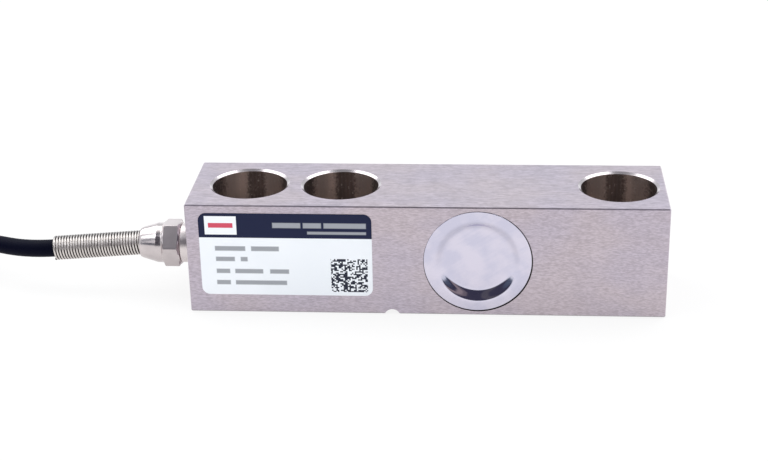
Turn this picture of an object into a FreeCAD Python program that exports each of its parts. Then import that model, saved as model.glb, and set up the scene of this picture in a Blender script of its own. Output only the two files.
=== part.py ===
"""Single-ended shear-beam load cell with its gland, spring and cable, in millimetres.

The bar lies along X with the cable end at -X, the labelled face towards -Y and its underside on z = 0.
Two counterbored holes at the cable end bolt it down, and the third carries the load.
"""
import FreeCAD, Part
import math
import os
import re

import Sketcher
from FreeCAD import Placement, Rotation, Vector

# Driving dimensions: name, value, meaning
SIZES = [
    ("beam_length", 130.0, "bar, along X"),
    ("beam_width", 31.8, "bar, along Y"),
    ("beam_height", 31.8, "bar, along Z"),
    ("edge_break", 0.3, "chamfer on the bar's edges"),
    ("cut_past", 1.0, "how far a cutter runs past the face it starts from"),
    ("first_hole", 15.7, "cable end to the first mounting hole"),
    ("mount_spacing", 25.4, "between the two mounting holes"),
    ("load_arm", 76.2, "second mounting hole to the load hole"),
    ("bolt_bore", 13.0, "clearance hole for an M12 screw"),
    ("counterbore", 20.7, "recess for the screw's head"),
    ("counterbore_depth", 12.5, "depth of that recess"),
    ("hole_chamfer", 0.5, "chamfer at the mouth of the recess, its depth"),
    ("chamfer_width", 0.75, "that chamfer, outwards"),
    ("groove_from_end", 55.8, "cable end to the relief groove under the bar"),
    ("groove_radius", 2.2, "radius of the relief groove"),
    ("groove_depth", 1.4, "depth of the relief groove"),
    ("pocket_bore", 24.0, "gauge pocket in each side"),
    ("web_thickness", 5.0, "web left between the two pockets"),
    ("cover_diameter", 29.2, "round cover"),
    ("cover_gap", 0.2, "gap around the cover"),
    ("cover_sheet", 0.8, "sheet of the cover"),
    ("dish_mouth", 23.2, "cover's dish at its rim"),
    ("dish_floor", 18.8, "flat middle of the dish"),
    ("dish_depth", 1.5, "depth of the dish"),
    ("gauge_length", 8.4, "strain gauge's backing, along X"),
    ("gauge_height", 6.4, "strain gauge's backing, along Z"),
    ("gauge_backing", 0.12, "thickness of the backing"),
    ("gauge_foil", 0.06, "thickness of the foil on it"),
    ("grid_length", 2.4, "one strand of a grid"),
    ("grid_strand", 0.26, "width of a strand"),
    ("grid_span", 1.6, "first to last strand"),
    ("grid_strands", 5, "strands in a grid"),
    ("grid_offset", 1.7, "grid's centre from the gauge's middle"),
    ("tab_width", 1.1, "solder tab of the gauge, along X"),
    ("tab_height", 0.9, "solder tab of the gauge, along Z"),
    ("tab_pitch", 1.8, "between solder tabs"),
    ("board_width", 4.7, "terminal board, along X"),
    ("board_height", 10.0, "terminal board, along Z"),
    ("board_thickness", 1.0, "terminal board"),
    ("board_from_middle", 7.65, "board's centre from the pocket's axis"),
    ("pad_size", 1.1, "square solder pad"),
    ("pad_thickness", 0.15, "solder on a pad"),
    ("pad_column", 1.35, "each column of pads from the board's centre line"),
    ("core_pitch", 2.4, "between the pads of the four cores"),
    ("bridge_pitch", 1.6, "between the pads of the gauge leads"),
    ("chip_length", 2.0, "trim resistor, along Z"),
    ("chip_width", 1.2, "trim resistor, along X"),
    ("chip_height", 0.6, "trim resistor, off the board"),
    ("ribbon_width", 0.25, "gauge lead, a square ribbon"),
    ("ribbon_rise", 1.3, "how far a gauge lead arches"),
    ("lead_lane", 0.4, "between gauge leads in the hole through the web"),
    ("web_hole", 2.0, "hole through the web for the gauge leads"),
    ("web_hole_rise", 5.9, "that hole above the pocket's axis"),
    ("gland_height", 13.6, "gland's axis above the underside"),
    ("gland_bore", 10.0, "screwed hole in the end face"),
    ("gland_bore_depth", 5.5, "depth of that hole"),
    ("thread_gap", 0.05, "all round, between screwed pieces"),
    ("channel_wall", 5.3, "rear face to the axis of the drilled wire channel, behind the bolt holes"),
    ("channel_bore", 3.6, "wire channel"),
    ("plug_length", 6.0, "pin that closes the channel's mouth"),
    ("link_start", 3.0, "end face to the start of the slanted link hole"),
    ("link_angle", 50.0, "link hole from the gland to the channel, degrees from X"),
    ("link_bore", 3.4, "link hole"),
    ("spigot_length", 3.2, "gland's screwed spigot in the bar"),
    ("gasket_thickness", 0.5, "gasket under the collar"),
    ("collar_diameter", 11.1, "gland's collar"),
    ("collar_length", 4.45, "end face to the far side of the collar"),
    ("neck_diameter", 8.6, "screwed neck under the nut"),
    ("neck_length", 4.5, "length of the neck"),
    ("cable_diameter", 5.0, "outer sheath"),
    ("cable_clearance", 0.2, "all round, where the cable passes metal"),
    ("seal_squeeze", 0.02, "all round, between the rubber bush and the cable"),
    ("bush_diameter", 7.0, "rubber bush on the cable"),
    ("bush_length", 5.0, "length of the bush"),
    ("bush_depth", 0.4, "bush behind the collar's far side"),
    ("nut_across_flats", 12.0, "hexagon"),
    ("nut_turn", 7.0, "first corner above the horizontal, degrees"),
    ("nut_hex_length", 4.95, "hexagon, along X"),
    ("nut_chamfer", 1.1, "how deep the hexagon's corners are turned off"),
    ("nut_chamfer_length", 0.6, "that cut, along X"),
    ("nose_land", 1.8, "straight part of the nose next to the hexagon"),
    ("nose_base", 11.3, "nose next to the hexagon"),
    ("nose_length", 6.7, "whole nose"),
    ("nose_tip", 8.7, "nose at its tip"),
    ("nose_round", 0.5, "broken edge of the tip"),
    ("mouth_bore", 7.5, "mouth that holds the spring"),
    ("mouth_depth", 1.8, "depth of the mouth"),
    ("spring_diameter", 7.05, "close-wound spring, outside"),
    ("spring_wire", 0.815, "its wire, and so its pitch"),
    ("spring_bore", 5.5, "clear way inside the spring"),
    ("spring_turns", 33, "turns of the spring"),
    ("spring_seat", 0.3, "spring's end from the floor of the mouth"),
    ("spring_droop", 4.7, "spring below the gland's axis, degrees"),
    ("droop_reach", 33.9, "mouth of the nose to the cable's bend past the spring"),
    ("label_width", 47.0, "rating label, along X"),
    ("label_height", 24.1, "rating label, along Z"),
    ("label_thickness", 0.15, "rating label"),
    ("label_corner", 2.2, "radius of its corners"),
    ("label_from_end", 3.6, "cable end to the label"),
    ("label_base", 5.4, "underside of the bar to the label"),
    ("core_diameter", 0.9, "insulated core inside the bar"),
    ("core_lane", 0.6, "each core from the middle of the bundle"),
    ("core_bend", 2.0, "bend of a core, to its middle"),
    ("sheath_entry", 0.5, "sheath ends this far inside the end face"),
    ("tie_thickness", 1.0, "band of a tie"),
    ("tie_width", 4.0, "band of a tie"),
    ("tie_head", 4.5, "locking head of a tie"),
    ("hank_run", 100.0, "straight run of the hank"),
    ("hank_fold", 35.0, "fold of the hank, across the middle of its turns"),
    ("hank_turns_wide", 2, "turns side by side"),
    ("hank_turns_high", 5, "turns on each other"),
    ("hank_entry", 16.0, "straight way of the cable into the hank"),
    ("end_from_fold", 2.0, "far fold to the sleeve on the cable's end"),
    ("sleeve_diameter", 5.6, "sleeve on the cable's far end"),
    ("sleeve_length", 12.0, "that sleeve"),
    ("tail_diameter", 1.0, "stripped core at the far end"),
    ("tail_length", 30.0, "length of a stripped core"),
    ("tail_lane", 0.75, "each stripped core from the middle of the sleeve"),
]
NAMES = {name for name, value, meaning in SIZES}

# Cable route beyond the spring, chosen by hand: back and down to the floor.
# Each point is given by its distance past the end face, towards the rear, and above the floor.
ROUTE_OUTSIDE = [
    (63.2, 7.4, 9.7),
    (75.8, 14.6, 7.3),
    (89.5, 20.0, 3.5),
    (102.5, 20.0, 3.5),
]
RUN_SHARE = 0.45
NEARLY_ALONG = 0.9
SIDES = {"front": -1, "rear": 1}
# Flats that stand for a round section, to keep thin pieces light
CABLE_FLATS = 12
CORE_FLATS = 6
SPRING_FLATS = 8
RIBBON_FLATS = 4
FOLD_FLATS = 12
# Each core's place in its bundle, to the left and up, and its pad on the board from the lowest
CORES = {"red": (1, 1, 3), "black": (-1, 1, 2), "green": (-1, -1, 1), "white": (1, -1, 0)}
# The stripped end lies on top of the hank, and its cores fan out from these places in the sleeve
TAILS = {"red": (1, 1), "black": (-1, 1), "green": (-1, -1), "white": (1, -1), "shield": (0, 0)}

doc = FreeCAD.newDocument("load_cell")
sheet = doc.addObject("Spreadsheet::Sheet", "sizes")
for row, (name, value, meaning) in enumerate(SIZES, start=1):
    sheet.set(f"A{row}", name)
    sheet.set(f"B{row}", str(value))
    sheet.setAlias(f"B{row}", name)
    sheet.set(f"C{row}", meaning)
doc.recompute()


def bound(formula):
    """The formula with each size's name pointed at its cell in the sheet."""
    return re.sub(r"[a-z_]+", lambda m: "sizes." + m.group() if m.group() in NAMES else m.group(), formula)


def new_body(label):
    body = doc.addObject("PartDesign::Body", label)
    body.Label = label
    return body


def sketch_in(body, name, plane, place, turn=None):
    """Sketch on one of the body's own planes, shifted along the sketch's x, y and normal."""
    sketch = body.newObject("Sketcher::SketchObject", name)
    support = next(f for f in body.Origin.OriginFeatures if f.Role == plane)
    sketch.AttachmentSupport = [(support, "")]
    sketch.MapMode = "FlatFace"
    if turn is not None:
        sketch.AttachmentOffset = Placement(Vector(), Rotation(Vector(0, 0, 1), 1))
        sketch.setExpression("AttachmentOffset.Rotation.Angle", bound(turn))
    for axis, formula in zip("xyz", place):
        sketch.setExpression(f"AttachmentOffset.Base.{axis}", bound(formula))
    return sketch


def pin(sketch, constraint, name, formula):
    """Add a dimension to the sketch and tie its value to the sheet."""
    index = sketch.addConstraint(constraint)
    sketch.renameConstraint(index, name)
    sketch.setExpression(f"Constraints.{name}", bound(formula))


def outline(sketch, corners):
    """Closed outline of straight lines, with both coordinates of every corner tied to the sheet."""
    count = len(corners)
    first = sketch.GeometryCount
    angles = [2 * math.pi * k / count for k in range(count)]
    start = [Vector(math.cos(angle), math.sin(angle)) for angle in angles]
    for k in range(count):
        sketch.addGeometry(Part.LineSegment(start[k], start[(k + 1) % count]))
    for k in range(count):
        sketch.addConstraint(Sketcher.Constraint("Coincident", first + k, 2, first + (k + 1) % count, 1))
    for k, (across, up) in enumerate(corners):
        line = first + k
        pin(sketch, Sketcher.Constraint("DistanceX", -1, 1, line, 1, start[k].x), f"across_{line}", across)
        pin(sketch, Sketcher.Constraint("DistanceY", -1, 1, line, 1, start[k].y), f"up_{line}", up)


def box_outline(sketch, width, height):
    """Rectangle about the sketch's origin."""
    half_width = f"({width}) / 2"
    half_height = f"({height}) / 2"
    outline(sketch, [
        (f"-{half_width}", f"-{half_height}"),
        (half_width, f"-{half_height}"),
        (half_width, half_height),
        (f"-{half_width}", half_height),
    ])


def round_outline(sketch, diameter):
    """Circle about the sketch's origin."""
    circle = sketch.addGeometry(Part.Circle(Vector(), Vector(0, 0, 1), 1))
    sketch.addConstraint(Sketcher.Constraint("Coincident", circle, 3, -1, 1))
    pin(sketch, Sketcher.Constraint("Diameter", circle, 2), "diameter", diameter)


def extruded(body, kind, name, sketch, length, reversed_way=False, symmetric=False):
    """Pad or Pocket of a sketch, its length tied to the sheet."""
    feature = body.newObject(f"PartDesign::{kind}", name)
    feature.Profile = sketch
    feature.Reversed = reversed_way
    if symmetric:
        feature.SideType = "Symmetric"
    feature.setExpression("Length", bound(length))
    return feature


def turned(body, kind, name, plane, place, axis, corners, turn=None):
    """Revolution or Groove of an outline about its sketch's own axis."""
    sketch = sketch_in(body, f"{name}_section", plane, place, turn)
    outline(sketch, corners)
    feature = body.newObject(f"PartDesign::{kind}", name)
    feature.Profile = sketch
    feature.ReferenceAxis = (sketch, [axis])
    feature.Angle = 360
    return feature


POCKET_X = "first_hole + mount_spacing + load_arm / 2 - beam_length / 2"
END_FACE = "-beam_length / 2"
SEAT_RADIUS = "(cover_diameter / 2 + cover_gap)"
CABLE_WAY = "(cable_diameter / 2 + cable_clearance)"
CHANNEL_Y = "(beam_width / 2 - channel_wall)"


def make_beam():
    """Square bar with its bolt holes, pockets, relief groove, gland hole and wire ways."""
    beam = new_body("beam_body")
    section = sketch_in(beam, "bar_outline", "XY_Plane", ("0", "0", "0"))
    box_outline(section, "beam_length", "beam_width")
    bar = extruded(beam, "Pad", "bar", section, "beam_height")
    doc.recompute()
    breaks = beam.newObject("PartDesign::Chamfer", "broken_edges")
    breaks.Base = (bar, [f"Edge{n + 1}" for n in range(len(bar.Shape.Edges))])
    breaks.setExpression("Size", bound("edge_break"))

    groove = sketch_in(
        beam, "relief_groove_outline", "XZ_Plane",
        (f"{END_FACE} + groove_from_end", "groove_depth - groove_radius", "0"),
    )
    round_outline(groove, "2 * groove_radius")
    extruded(beam, "Pocket", "relief_groove", groove, "2 * beam_width", symmetric=True)

    bolt_hole = [
        ("0", "-cut_past"),
        ("bolt_bore / 2", "-cut_past"),
        ("bolt_bore / 2", "beam_height - counterbore_depth"),
        ("counterbore / 2", "beam_height - counterbore_depth"),
        ("counterbore / 2", "beam_height - hole_chamfer"),
        ("counterbore / 2 + chamfer_width * (1 + cut_past / hole_chamfer)", "beam_height + cut_past"),
        ("0", "beam_height + cut_past"),
    ]
    hole_places = {
        "mount_hole_outer": "first_hole",
        "mount_hole_inner": "first_hole + mount_spacing",
        "load_hole": "first_hole + mount_spacing + load_arm",
    }
    for name, from_end in hole_places.items():
        turned(beam, "Groove", name, "XZ_Plane", (f"{END_FACE} + {from_end}", "0", "0"), "V_Axis", bolt_hole)

    for name, side in SIDES.items():
        floor = f"{side} * web_thickness / 2"
        shelf = f"{side} * (beam_width / 2 - cover_sheet)"
        outside = f"{side} * (beam_width / 2 + cut_past)"
        turned(beam, "Groove", f"{name}_pocket", "XY_Plane", (POCKET_X, "0", "beam_height / 2"), "V_Axis", [
            ("0", floor),
            ("pocket_bore / 2", floor),
            ("pocket_bore / 2", shelf),
            (SEAT_RADIUS, shelf),
            (SEAT_RADIUS, outside),
            ("0", outside),
        ])
    web_way = "(web_thickness / 2 + cut_past)"
    web_place = (TAB_X, "0", "beam_height / 2 + web_hole_rise")
    turned(beam, "Groove", "web_hole", "XY_Plane", web_place, "V_Axis", [
        ("0", f"-{web_way}"),
        ("web_hole / 2", f"-{web_way}"),
        ("web_hole / 2", web_way),
        ("0", web_way),
    ])

    turned(beam, "Groove", "gland_hole", "XZ_Plane", (END_FACE, "gland_height", "0"), "H_Axis", [
        ("-cut_past", "0"),
        ("gland_bore_depth", "0"),
        ("gland_bore_depth", "gland_bore / 2"),
        ("-cut_past", "gland_bore / 2"),
    ])
    link_place = (f"{END_FACE} + link_start", "0", "gland_height")
    link_length = f"{CHANNEL_Y} / sin(link_angle * 1 deg)"
    turned(beam, "Groove", "link_hole", "XY_Plane", link_place, "H_Axis", [
        ("0", "0"),
        (link_length, "0"),
        (link_length, "link_bore / 2"),
        ("0", "link_bore / 2"),
    ], turn="link_angle * 1 deg")
    channel_place = (CHANNEL_Y, "gland_height", END_FACE)
    mouth = sketch_in(beam, "channel_outline", "YZ_Plane", channel_place)
    round_outline(mouth, "channel_bore")
    channel_length = f"{POCKET_X} + beam_length / 2 - pocket_bore / 2 + channel_bore"
    extruded(beam, "Pocket", "wire_channel", mouth, channel_length, reversed_way=True)

    plug = new_body("channel_plug")
    pin_end = sketch_in(plug, "plug_outline", "YZ_Plane", channel_place)
    round_outline(pin_end, "channel_bore")
    extruded(plug, "Pad", "pin", pin_end, "plug_length")


def make_cover(name, side):
    """Dished sheet cover bonded into its seat, flush with the bar's face."""
    place = (POCKET_X, "0", "beam_height / 2")
    bend = "cover_sheet * tan(atan(2 * dish_depth / (dish_mouth - dish_floor)) / 2)"
    depths = {
        "face": "0",
        "rim_back": "cover_sheet",
        "dish": "dish_depth",
        "dish_back": "(dish_depth + cover_sheet)",
    }
    at = {key: f"{side} * (beam_width / 2 - {depth})" for key, depth in depths.items()}
    turned(new_body(f"{name}_cover"), "Revolution", "dished_sheet", "XY_Plane", place, "V_Axis", [
        ("0", at["dish"]),
        ("dish_floor / 2", at["dish"]),
        ("dish_mouth / 2", at["face"]),
        ("cover_diameter / 2", at["face"]),
        ("cover_diameter / 2", at["rim_back"]),
        (f"dish_mouth / 2 + {bend}", at["rim_back"]),
        (f"dish_floor / 2 + {bend}", at["dish_back"]),
        ("0", at["dish_back"]),
    ])


TAB_STEPS = (-1, 0, 1)
TAB_X = f"{POCKET_X} - gauge_length / 2 + tab_width / 2 + gauge_backing"


def make_gauge(name, side):
    """Shear gauge on the web: backing, two grids at 45 degrees and three solder tabs."""
    gauge = new_body(f"{name}_gauge")
    facing = side > 0
    on_web = f"{-side} * web_thickness / 2"
    on_backing = f"{-side} * (web_thickness / 2 + gauge_backing)"
    middle = "beam_height / 2"
    carrier = sketch_in(gauge, "backing_outline", "XZ_Plane", (POCKET_X, middle, on_web))
    box_outline(carrier, "gauge_length", "gauge_height")
    extruded(gauge, "Pad", "backing", carrier, "gauge_backing", reversed_way=facing)
    for grid, way in (("left_grid", -1), ("right_grid", 1)):
        lean = f"{45 * way} * 1 deg"
        shift = f"{way} * grid_offset + tab_width / 2"
        reach = f"{way} * grid_span / 2 * sin(45 deg)"
        strand = sketch_in(
            gauge, f"{grid}_outline", "XZ_Plane",
            (f"{POCKET_X} + {shift} + {reach}", f"{middle} - grid_span / 2 * cos(45 deg)", on_backing), lean,
        )
        box_outline(strand, "grid_length", "grid_strand")
        first = extruded(gauge, "Pad", f"{grid}_strand", strand, "gauge_foil", reversed_way=facing)
        pattern = gauge.newObject("PartDesign::LinearPattern", grid)
        pattern.Originals = [first]
        pattern.Direction = (strand, ["V_Axis"])
        pattern.setExpression("Length", bound("grid_span"))
        pattern.setExpression("Occurrences", bound("grid_strands"))
        gauge.Tip = pattern
    for step in TAB_STEPS:
        tab_place = (TAB_X, f"{middle} + {step} * tab_pitch", on_backing)
        tab = sketch_in(gauge, f"tab_outline_{step + 1}", "XZ_Plane", tab_place)
        box_outline(tab, "tab_width", "tab_height")
        extruded(gauge, "Pad", f"tab_{step + 1}", tab, "gauge_foil", reversed_way=facing)


BOARD_X = f"{POCKET_X} - board_from_middle"
PAD_ROWS = {"core": (-1, "core_pitch", len(CORES)), "bridge": (1, "bridge_pitch", 2 * len(TAB_STEPS))}


def make_board():
    """Terminal board bonded to the web in the rear pocket, with two columns of pads and two chips."""
    board = new_body("terminal_board")
    middle = "beam_height / 2"
    on_web = "-web_thickness / 2"
    on_board = "-(web_thickness / 2 + board_thickness)"
    plate = sketch_in(board, "plate_outline", "XZ_Plane", (BOARD_X, middle, on_web))
    box_outline(plate, "board_width", "board_height")
    extruded(board, "Pad", "plate", plate, "board_thickness", reversed_way=True)
    for row, (column, pitch, count) in PAD_ROWS.items():
        lowest = f"{middle} - {count - 1} / 2 * {pitch}"
        pad = sketch_in(
            board, f"{row}_pad_outline", "XZ_Plane", (f"{BOARD_X} + {column} * pad_column", lowest, on_board)
        )
        box_outline(pad, "pad_size", "pad_size")
        first = extruded(board, "Pad", f"{row}_pad", pad, "pad_thickness", reversed_way=True)
        pattern = board.newObject("PartDesign::LinearPattern", f"{row}_pads")
        pattern.Originals = [first]
        pattern.Direction = (pad, ["V_Axis"])
        pattern.setExpression("Length", bound(f"{count - 1} * {pitch}"))
        pattern.Occurrences = count
        board.Tip = pattern

    chips = []
    for name, step in (("lower", -1), ("upper", 1)):
        chip = doc.addObject("Part::Box", f"{name}_trim_chip")
        chip.setExpression("Length", bound("chip_width"))
        chip.setExpression("Width", bound("chip_height"))
        chip.setExpression("Height", bound("chip_length"))
        chip.setExpression("Placement.Base.x", bound(f"{BOARD_X} - chip_width / 2"))
        chip.setExpression("Placement.Base.y", bound("web_thickness / 2 + board_thickness"))
        chip.setExpression("Placement.Base.z", bound(f"{middle} + {step} * core_pitch - chip_length / 2"))
        chips.append(chip)
    group = doc.addObject("Part::Compound", "trim_resistors")
    group.Links = chips


def make_gland():
    """Gasket, screwed body, rubber bush, and the nut whose inner shoulder presses the bush."""
    face = (END_FACE, "gland_height", "0")
    spigot = "(gland_bore / 2 - thread_gap)"
    bush_floor = "-(collar_length - bush_depth)"
    neck_end = "-(collar_length + neck_length)"
    turned(new_body("gland_gasket"), "Revolution", "gasket_ring", "XZ_Plane", face, "H_Axis", [
        ("-gasket_thickness", "gland_bore / 2"),
        ("0", "gland_bore / 2"),
        ("0", "collar_diameter / 2"),
        ("-gasket_thickness", "collar_diameter / 2"),
    ])
    turned(new_body("gland_body"), "Revolution", "turned_body", "XZ_Plane", face, "H_Axis", [
        ("spigot_length", CABLE_WAY),
        ("spigot_length", spigot),
        ("-gasket_thickness", spigot),
        ("-gasket_thickness", "collar_diameter / 2"),
        ("-collar_length", "collar_diameter / 2"),
        ("-collar_length", "neck_diameter / 2"),
        (neck_end, "neck_diameter / 2"),
        (neck_end, "bush_diameter / 2"),
        (bush_floor, "bush_diameter / 2"),
        (bush_floor, CABLE_WAY),
    ])
    grip = "(cable_diameter / 2 + seal_squeeze)"
    bush_end = f"({bush_floor} - bush_length)"
    turned(new_body("gland_seal"), "Revolution", "rubber_bush", "XZ_Plane", face, "H_Axis", [
        (bush_floor, grip),
        (bush_floor, "bush_diameter / 2"),
        (bush_end, "bush_diameter / 2"),
        (bush_end, grip),
    ])

    nut = new_body("gland_nut")
    hexagon = sketch_in(nut, "hex_outline", "YZ_Plane", ("0", "gland_height", f"{END_FACE} - collar_length"))
    corner_angles = [f"(180 - nut_turn + {60 * k}) * 1 deg" for k in range(6)]
    corner_radius = "nut_across_flats / sqrt(3)"
    outline(hexagon, [(f"{corner_radius} * cos({a})", f"{corner_radius} * sin({a})") for a in corner_angles])
    extruded(nut, "Pad", "hex", hexagon, "nut_hex_length", reversed_way=True)
    hex_place = (f"{END_FACE} - collar_length", "gland_height", "0")
    turned_to = f"({corner_radius} - nut_chamfer)"
    clear_of = f"({corner_radius} + cut_past)"
    slope = f"({clear_of} - {turned_to}) * nut_chamfer_length / nut_chamfer"
    for name, end, way in (("inner_chamfer", "0", 1), ("outer_chamfer", "-nut_hex_length", -1)):
        turned(nut, "Groove", name, "XZ_Plane", hex_place, "H_Axis", [
            (end, turned_to),
            (f"{end} - {way} * {slope}", clear_of),
            (f"{end} + {way} * cut_past", clear_of),
            (f"{end} + {way} * cut_past", turned_to),
        ])
    nose_place = (f"{END_FACE} - collar_length - nut_hex_length", "gland_height", "0")
    turned(nut, "Revolution", "nose", "XZ_Plane", nose_place, "H_Axis", [
        ("0", "0"),
        ("0", "nose_base / 2"),
        ("-nose_land", "nose_base / 2"),
        ("-(nose_length - nose_round)", "nose_tip / 2"),
        ("-nose_length", "nose_tip / 2 - nose_round / 2"),
        ("-nose_length", "0"),
    ])
    shoulder = f"({bush_end} + collar_length)"
    tip = "-(nut_hex_length + nose_length)"
    turned(nut, "Groove", "stepped_bore", "XZ_Plane", hex_place, "H_Axis", [
        ("cut_past", "0"),
        ("cut_past", "neck_diameter / 2 + thread_gap"),
        (shoulder, "neck_diameter / 2 + thread_gap"),
        (shoulder, f"{CABLE_WAY} + cable_clearance"),
        (f"{tip} + mouth_depth", f"{CABLE_WAY} + cable_clearance"),
        (f"{tip} + mouth_depth", "mouth_bore / 2"),
        (f"{tip} - cut_past", "mouth_bore / 2"),
        (f"{tip} - cut_past", "0"),
    ])


def make_label():
    """Thin rounded label on the front face."""
    label = new_body("rating_label")
    place = (
        f"{END_FACE} + label_from_end + label_width / 2",
        "label_base + label_height / 2",
        "beam_width / 2",
    )
    blank = sketch_in(label, "blank_outline", "XZ_Plane", place)
    box_outline(blank, "label_width", "label_height")
    film = extruded(label, "Pad", "film", blank, "label_thickness")
    doc.recompute()
    corners = [
        f"Edge{n}" for n, edge in enumerate(film.Shape.Edges, start=1)
        if abs(edge.tangentAt(edge.FirstParameter).y) > NEARLY_ALONG
    ]
    rounded = label.newObject("PartDesign::Fillet", "rounded_corners")
    rounded.Base = (film, corners)
    rounded.setExpression("Radius", bound("label_corner"))


def add_shape(label, shape, place=None):
    feature = doc.addObject("Part::Feature", label)
    feature.Shape = shape
    feature.Placement = place or Placement()


def tangent_path(points, most_radius=math.inf):
    """Straight runs joined by tangent arcs, as large as the runs and the given radius allow."""
    edges = []
    radii = []
    start = points[0]
    for before, corner, after in zip(points, points[1:], points[2:]):
        way_in = corner - before
        way_out = after - corner
        half_turn = way_in.getAngle(way_out) / 2
        reach = RUN_SHARE * min(way_in.Length, way_out.Length)
        radius = min(reach / math.tan(half_turn), most_radius)
        reach = radius * math.tan(half_turn)
        way_in.normalize()
        way_out.normalize()
        inward = way_out - way_in
        inward.normalize()
        middle = corner + inward * (radius / math.cos(half_turn) - radius)
        end = corner + way_out * reach
        edges.append(Part.LineSegment(start, corner - way_in * reach).toShape())
        edges.append(Part.Arc(corner - way_in * reach, middle, end).toShape())
        radii.append(radius)
        start = end
    edges.append(Part.LineSegment(start, points[-1]).toShape())
    return Part.Wire(edges), radii


def flat_ring(centre, way, diameter, flats):
    """Regular outline about a centre, square to a direction."""
    along = Vector(way)
    along.normalize()
    across = along.cross(Vector(1, 0, 0) if abs(along.z) > NEARLY_ALONG else Vector(0, 0, 1))
    across.normalize()
    up = across.cross(along)
    angles = [2 * math.pi * (k + 0.5) / flats for k in range(flats)]
    ring = [centre + (across * math.cos(a) + up * math.sin(a)) * (diameter / 2) for a in angles]
    return Part.makePolygon(ring + ring[:1])


def swept(path, points, diameter, flats):
    """Flat-sided tube along a path that starts at the first of the points."""
    section = flat_ring(points[0], points[1] - points[0], diameter, flats)
    return path.makePipeShell([section], True, False, 0)


def flat_rod(start, way, length, diameter, flats):
    """Straight flat-sided rod."""
    along = Vector(way)
    along.normalize()
    return Part.Face(flat_ring(start, along, diameter, flats)).extrude(along * length)


def offset_corner(corner, way_in, way_out, lane):
    """Corner of a path that runs beside another at a fixed distance to its left, in the XY plane."""
    left_in = Vector(-way_in.y, way_in.x, 0)
    left_out = Vector(-way_out.y, way_out.x, 0)
    return corner + (left_in + left_out) * (lane / (1 + left_in.dot(left_out)))


def pocket_x():
    return sheet.first_hole + sheet.mount_spacing + sheet.load_arm / 2 - sheet.beam_length / 2


def pad_top():
    return sheet.web_thickness / 2 + sheet.board_thickness + sheet.pad_thickness


def make_cores():
    """Four insulated cores from the end of the sheath through link and channel to the board's pads."""
    end_face = -sheet.beam_length / 2
    slant = math.radians(sheet.link_angle)
    ahead = Vector(1, 0, 0)
    slanted = Vector(math.cos(slant), math.sin(slant), 0)
    link_from = Vector(end_face + sheet.link_start, 0, 0)
    channel_y = sheet.beam_width / 2 - sheet.channel_wall
    link_to = link_from + slanted * (channel_y / math.sin(slant))
    pad_x = pocket_x() - sheet.board_from_middle - sheet.pad_column
    leave_x = pocket_x() - sheet.pocket_bore / 2 + sheet.core_diameter
    above_pad = (channel_y + pad_top()) / 2 + sheet.core_diameter
    for colour, (lane_side, lane_up, pad) in CORES.items():
        lane = lane_side * sheet.core_lane
        height = Vector(0, 0, sheet.gland_height + lane_up * sheet.core_lane)
        pad_z = sheet.beam_height / 2 + (pad - (len(CORES) - 1) / 2) * sheet.core_pitch
        points = [
            Vector(end_face + sheet.sheath_entry, lane, 0) + height,
            offset_corner(link_from, ahead, slanted, lane) + height,
            offset_corner(link_to, slanted, ahead, lane) + height,
            Vector(leave_x, channel_y + lane, 0) + height,
            Vector(pad_x, above_pad + lane, pad_z),
            Vector(pad_x, pad_top(), pad_z),
        ]
        path = tangent_path(points, sheet.core_bend)[0]
        add_shape(f"wire_{colour}", swept(path, points, sheet.core_diameter, CORE_FLATS))


def folded(points):
    """Ribbon lead folded sharply at its corners."""
    path = Part.makePolygon(points)
    return path.makePipeShell(
        [flat_ring(points[0], points[1] - points[0], sheet.ribbon_width, RIBBON_FLATS)], True, False, 1
    )


def make_gauge_leads():
    """Ribbon leads from the board to the rear gauge, and through the web to the front gauge."""
    middle = sheet.beam_height / 2
    pad_x = pocket_x() - sheet.board_from_middle + sheet.pad_column
    tab_x = pocket_x() - sheet.gauge_length / 2 + sheet.tab_width / 2 + sheet.gauge_backing
    tab_top = sheet.web_thickness / 2 + sheet.gauge_backing + sheet.gauge_foil
    rise = Vector(0, sheet.ribbon_rise, 0)
    over = Vector(0, pad_top() + sheet.ribbon_rise, 0)
    under = Vector(0, -tab_top - sheet.ribbon_rise, 0)
    rear = []
    front = []
    for step in TAB_STEPS:
        tab_z = middle + step * sheet.tab_pitch
        pad = Vector(pad_x, pad_top(), middle + (step - 1.5) * sheet.bridge_pitch)
        tab = Vector(tab_x, tab_top, tab_z)
        rear.append(folded([pad, pad + rise, tab + rise, tab]))
        pad = Vector(pad_x, pad_top(), middle + (step + 1.5) * sheet.bridge_pitch)
        lane = Vector(step * sheet.lead_lane, 0, 0)
        through = Vector(tab_x, 0, middle + sheet.web_hole_rise) + lane
        tab = Vector(tab_x, -tab_top, tab_z) + lane
        front.append(folded([pad, pad + rise, through + over, through + under, tab - rise, tab]))
    add_shape("gauge_jumpers_rear", Part.makeCompound(rear))
    add_shape("gauge_jumpers_front", Part.makeCompound(front))


def droop_pivot():
    """Middle of the mouth of the nose, where spring and cable bend down."""
    nose_end = sheet.beam_length / 2 + sheet.collar_length + sheet.nut_hex_length + sheet.nose_length
    return Vector(sheet.mouth_depth / 2 - nose_end, 0, sheet.gland_height)


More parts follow.
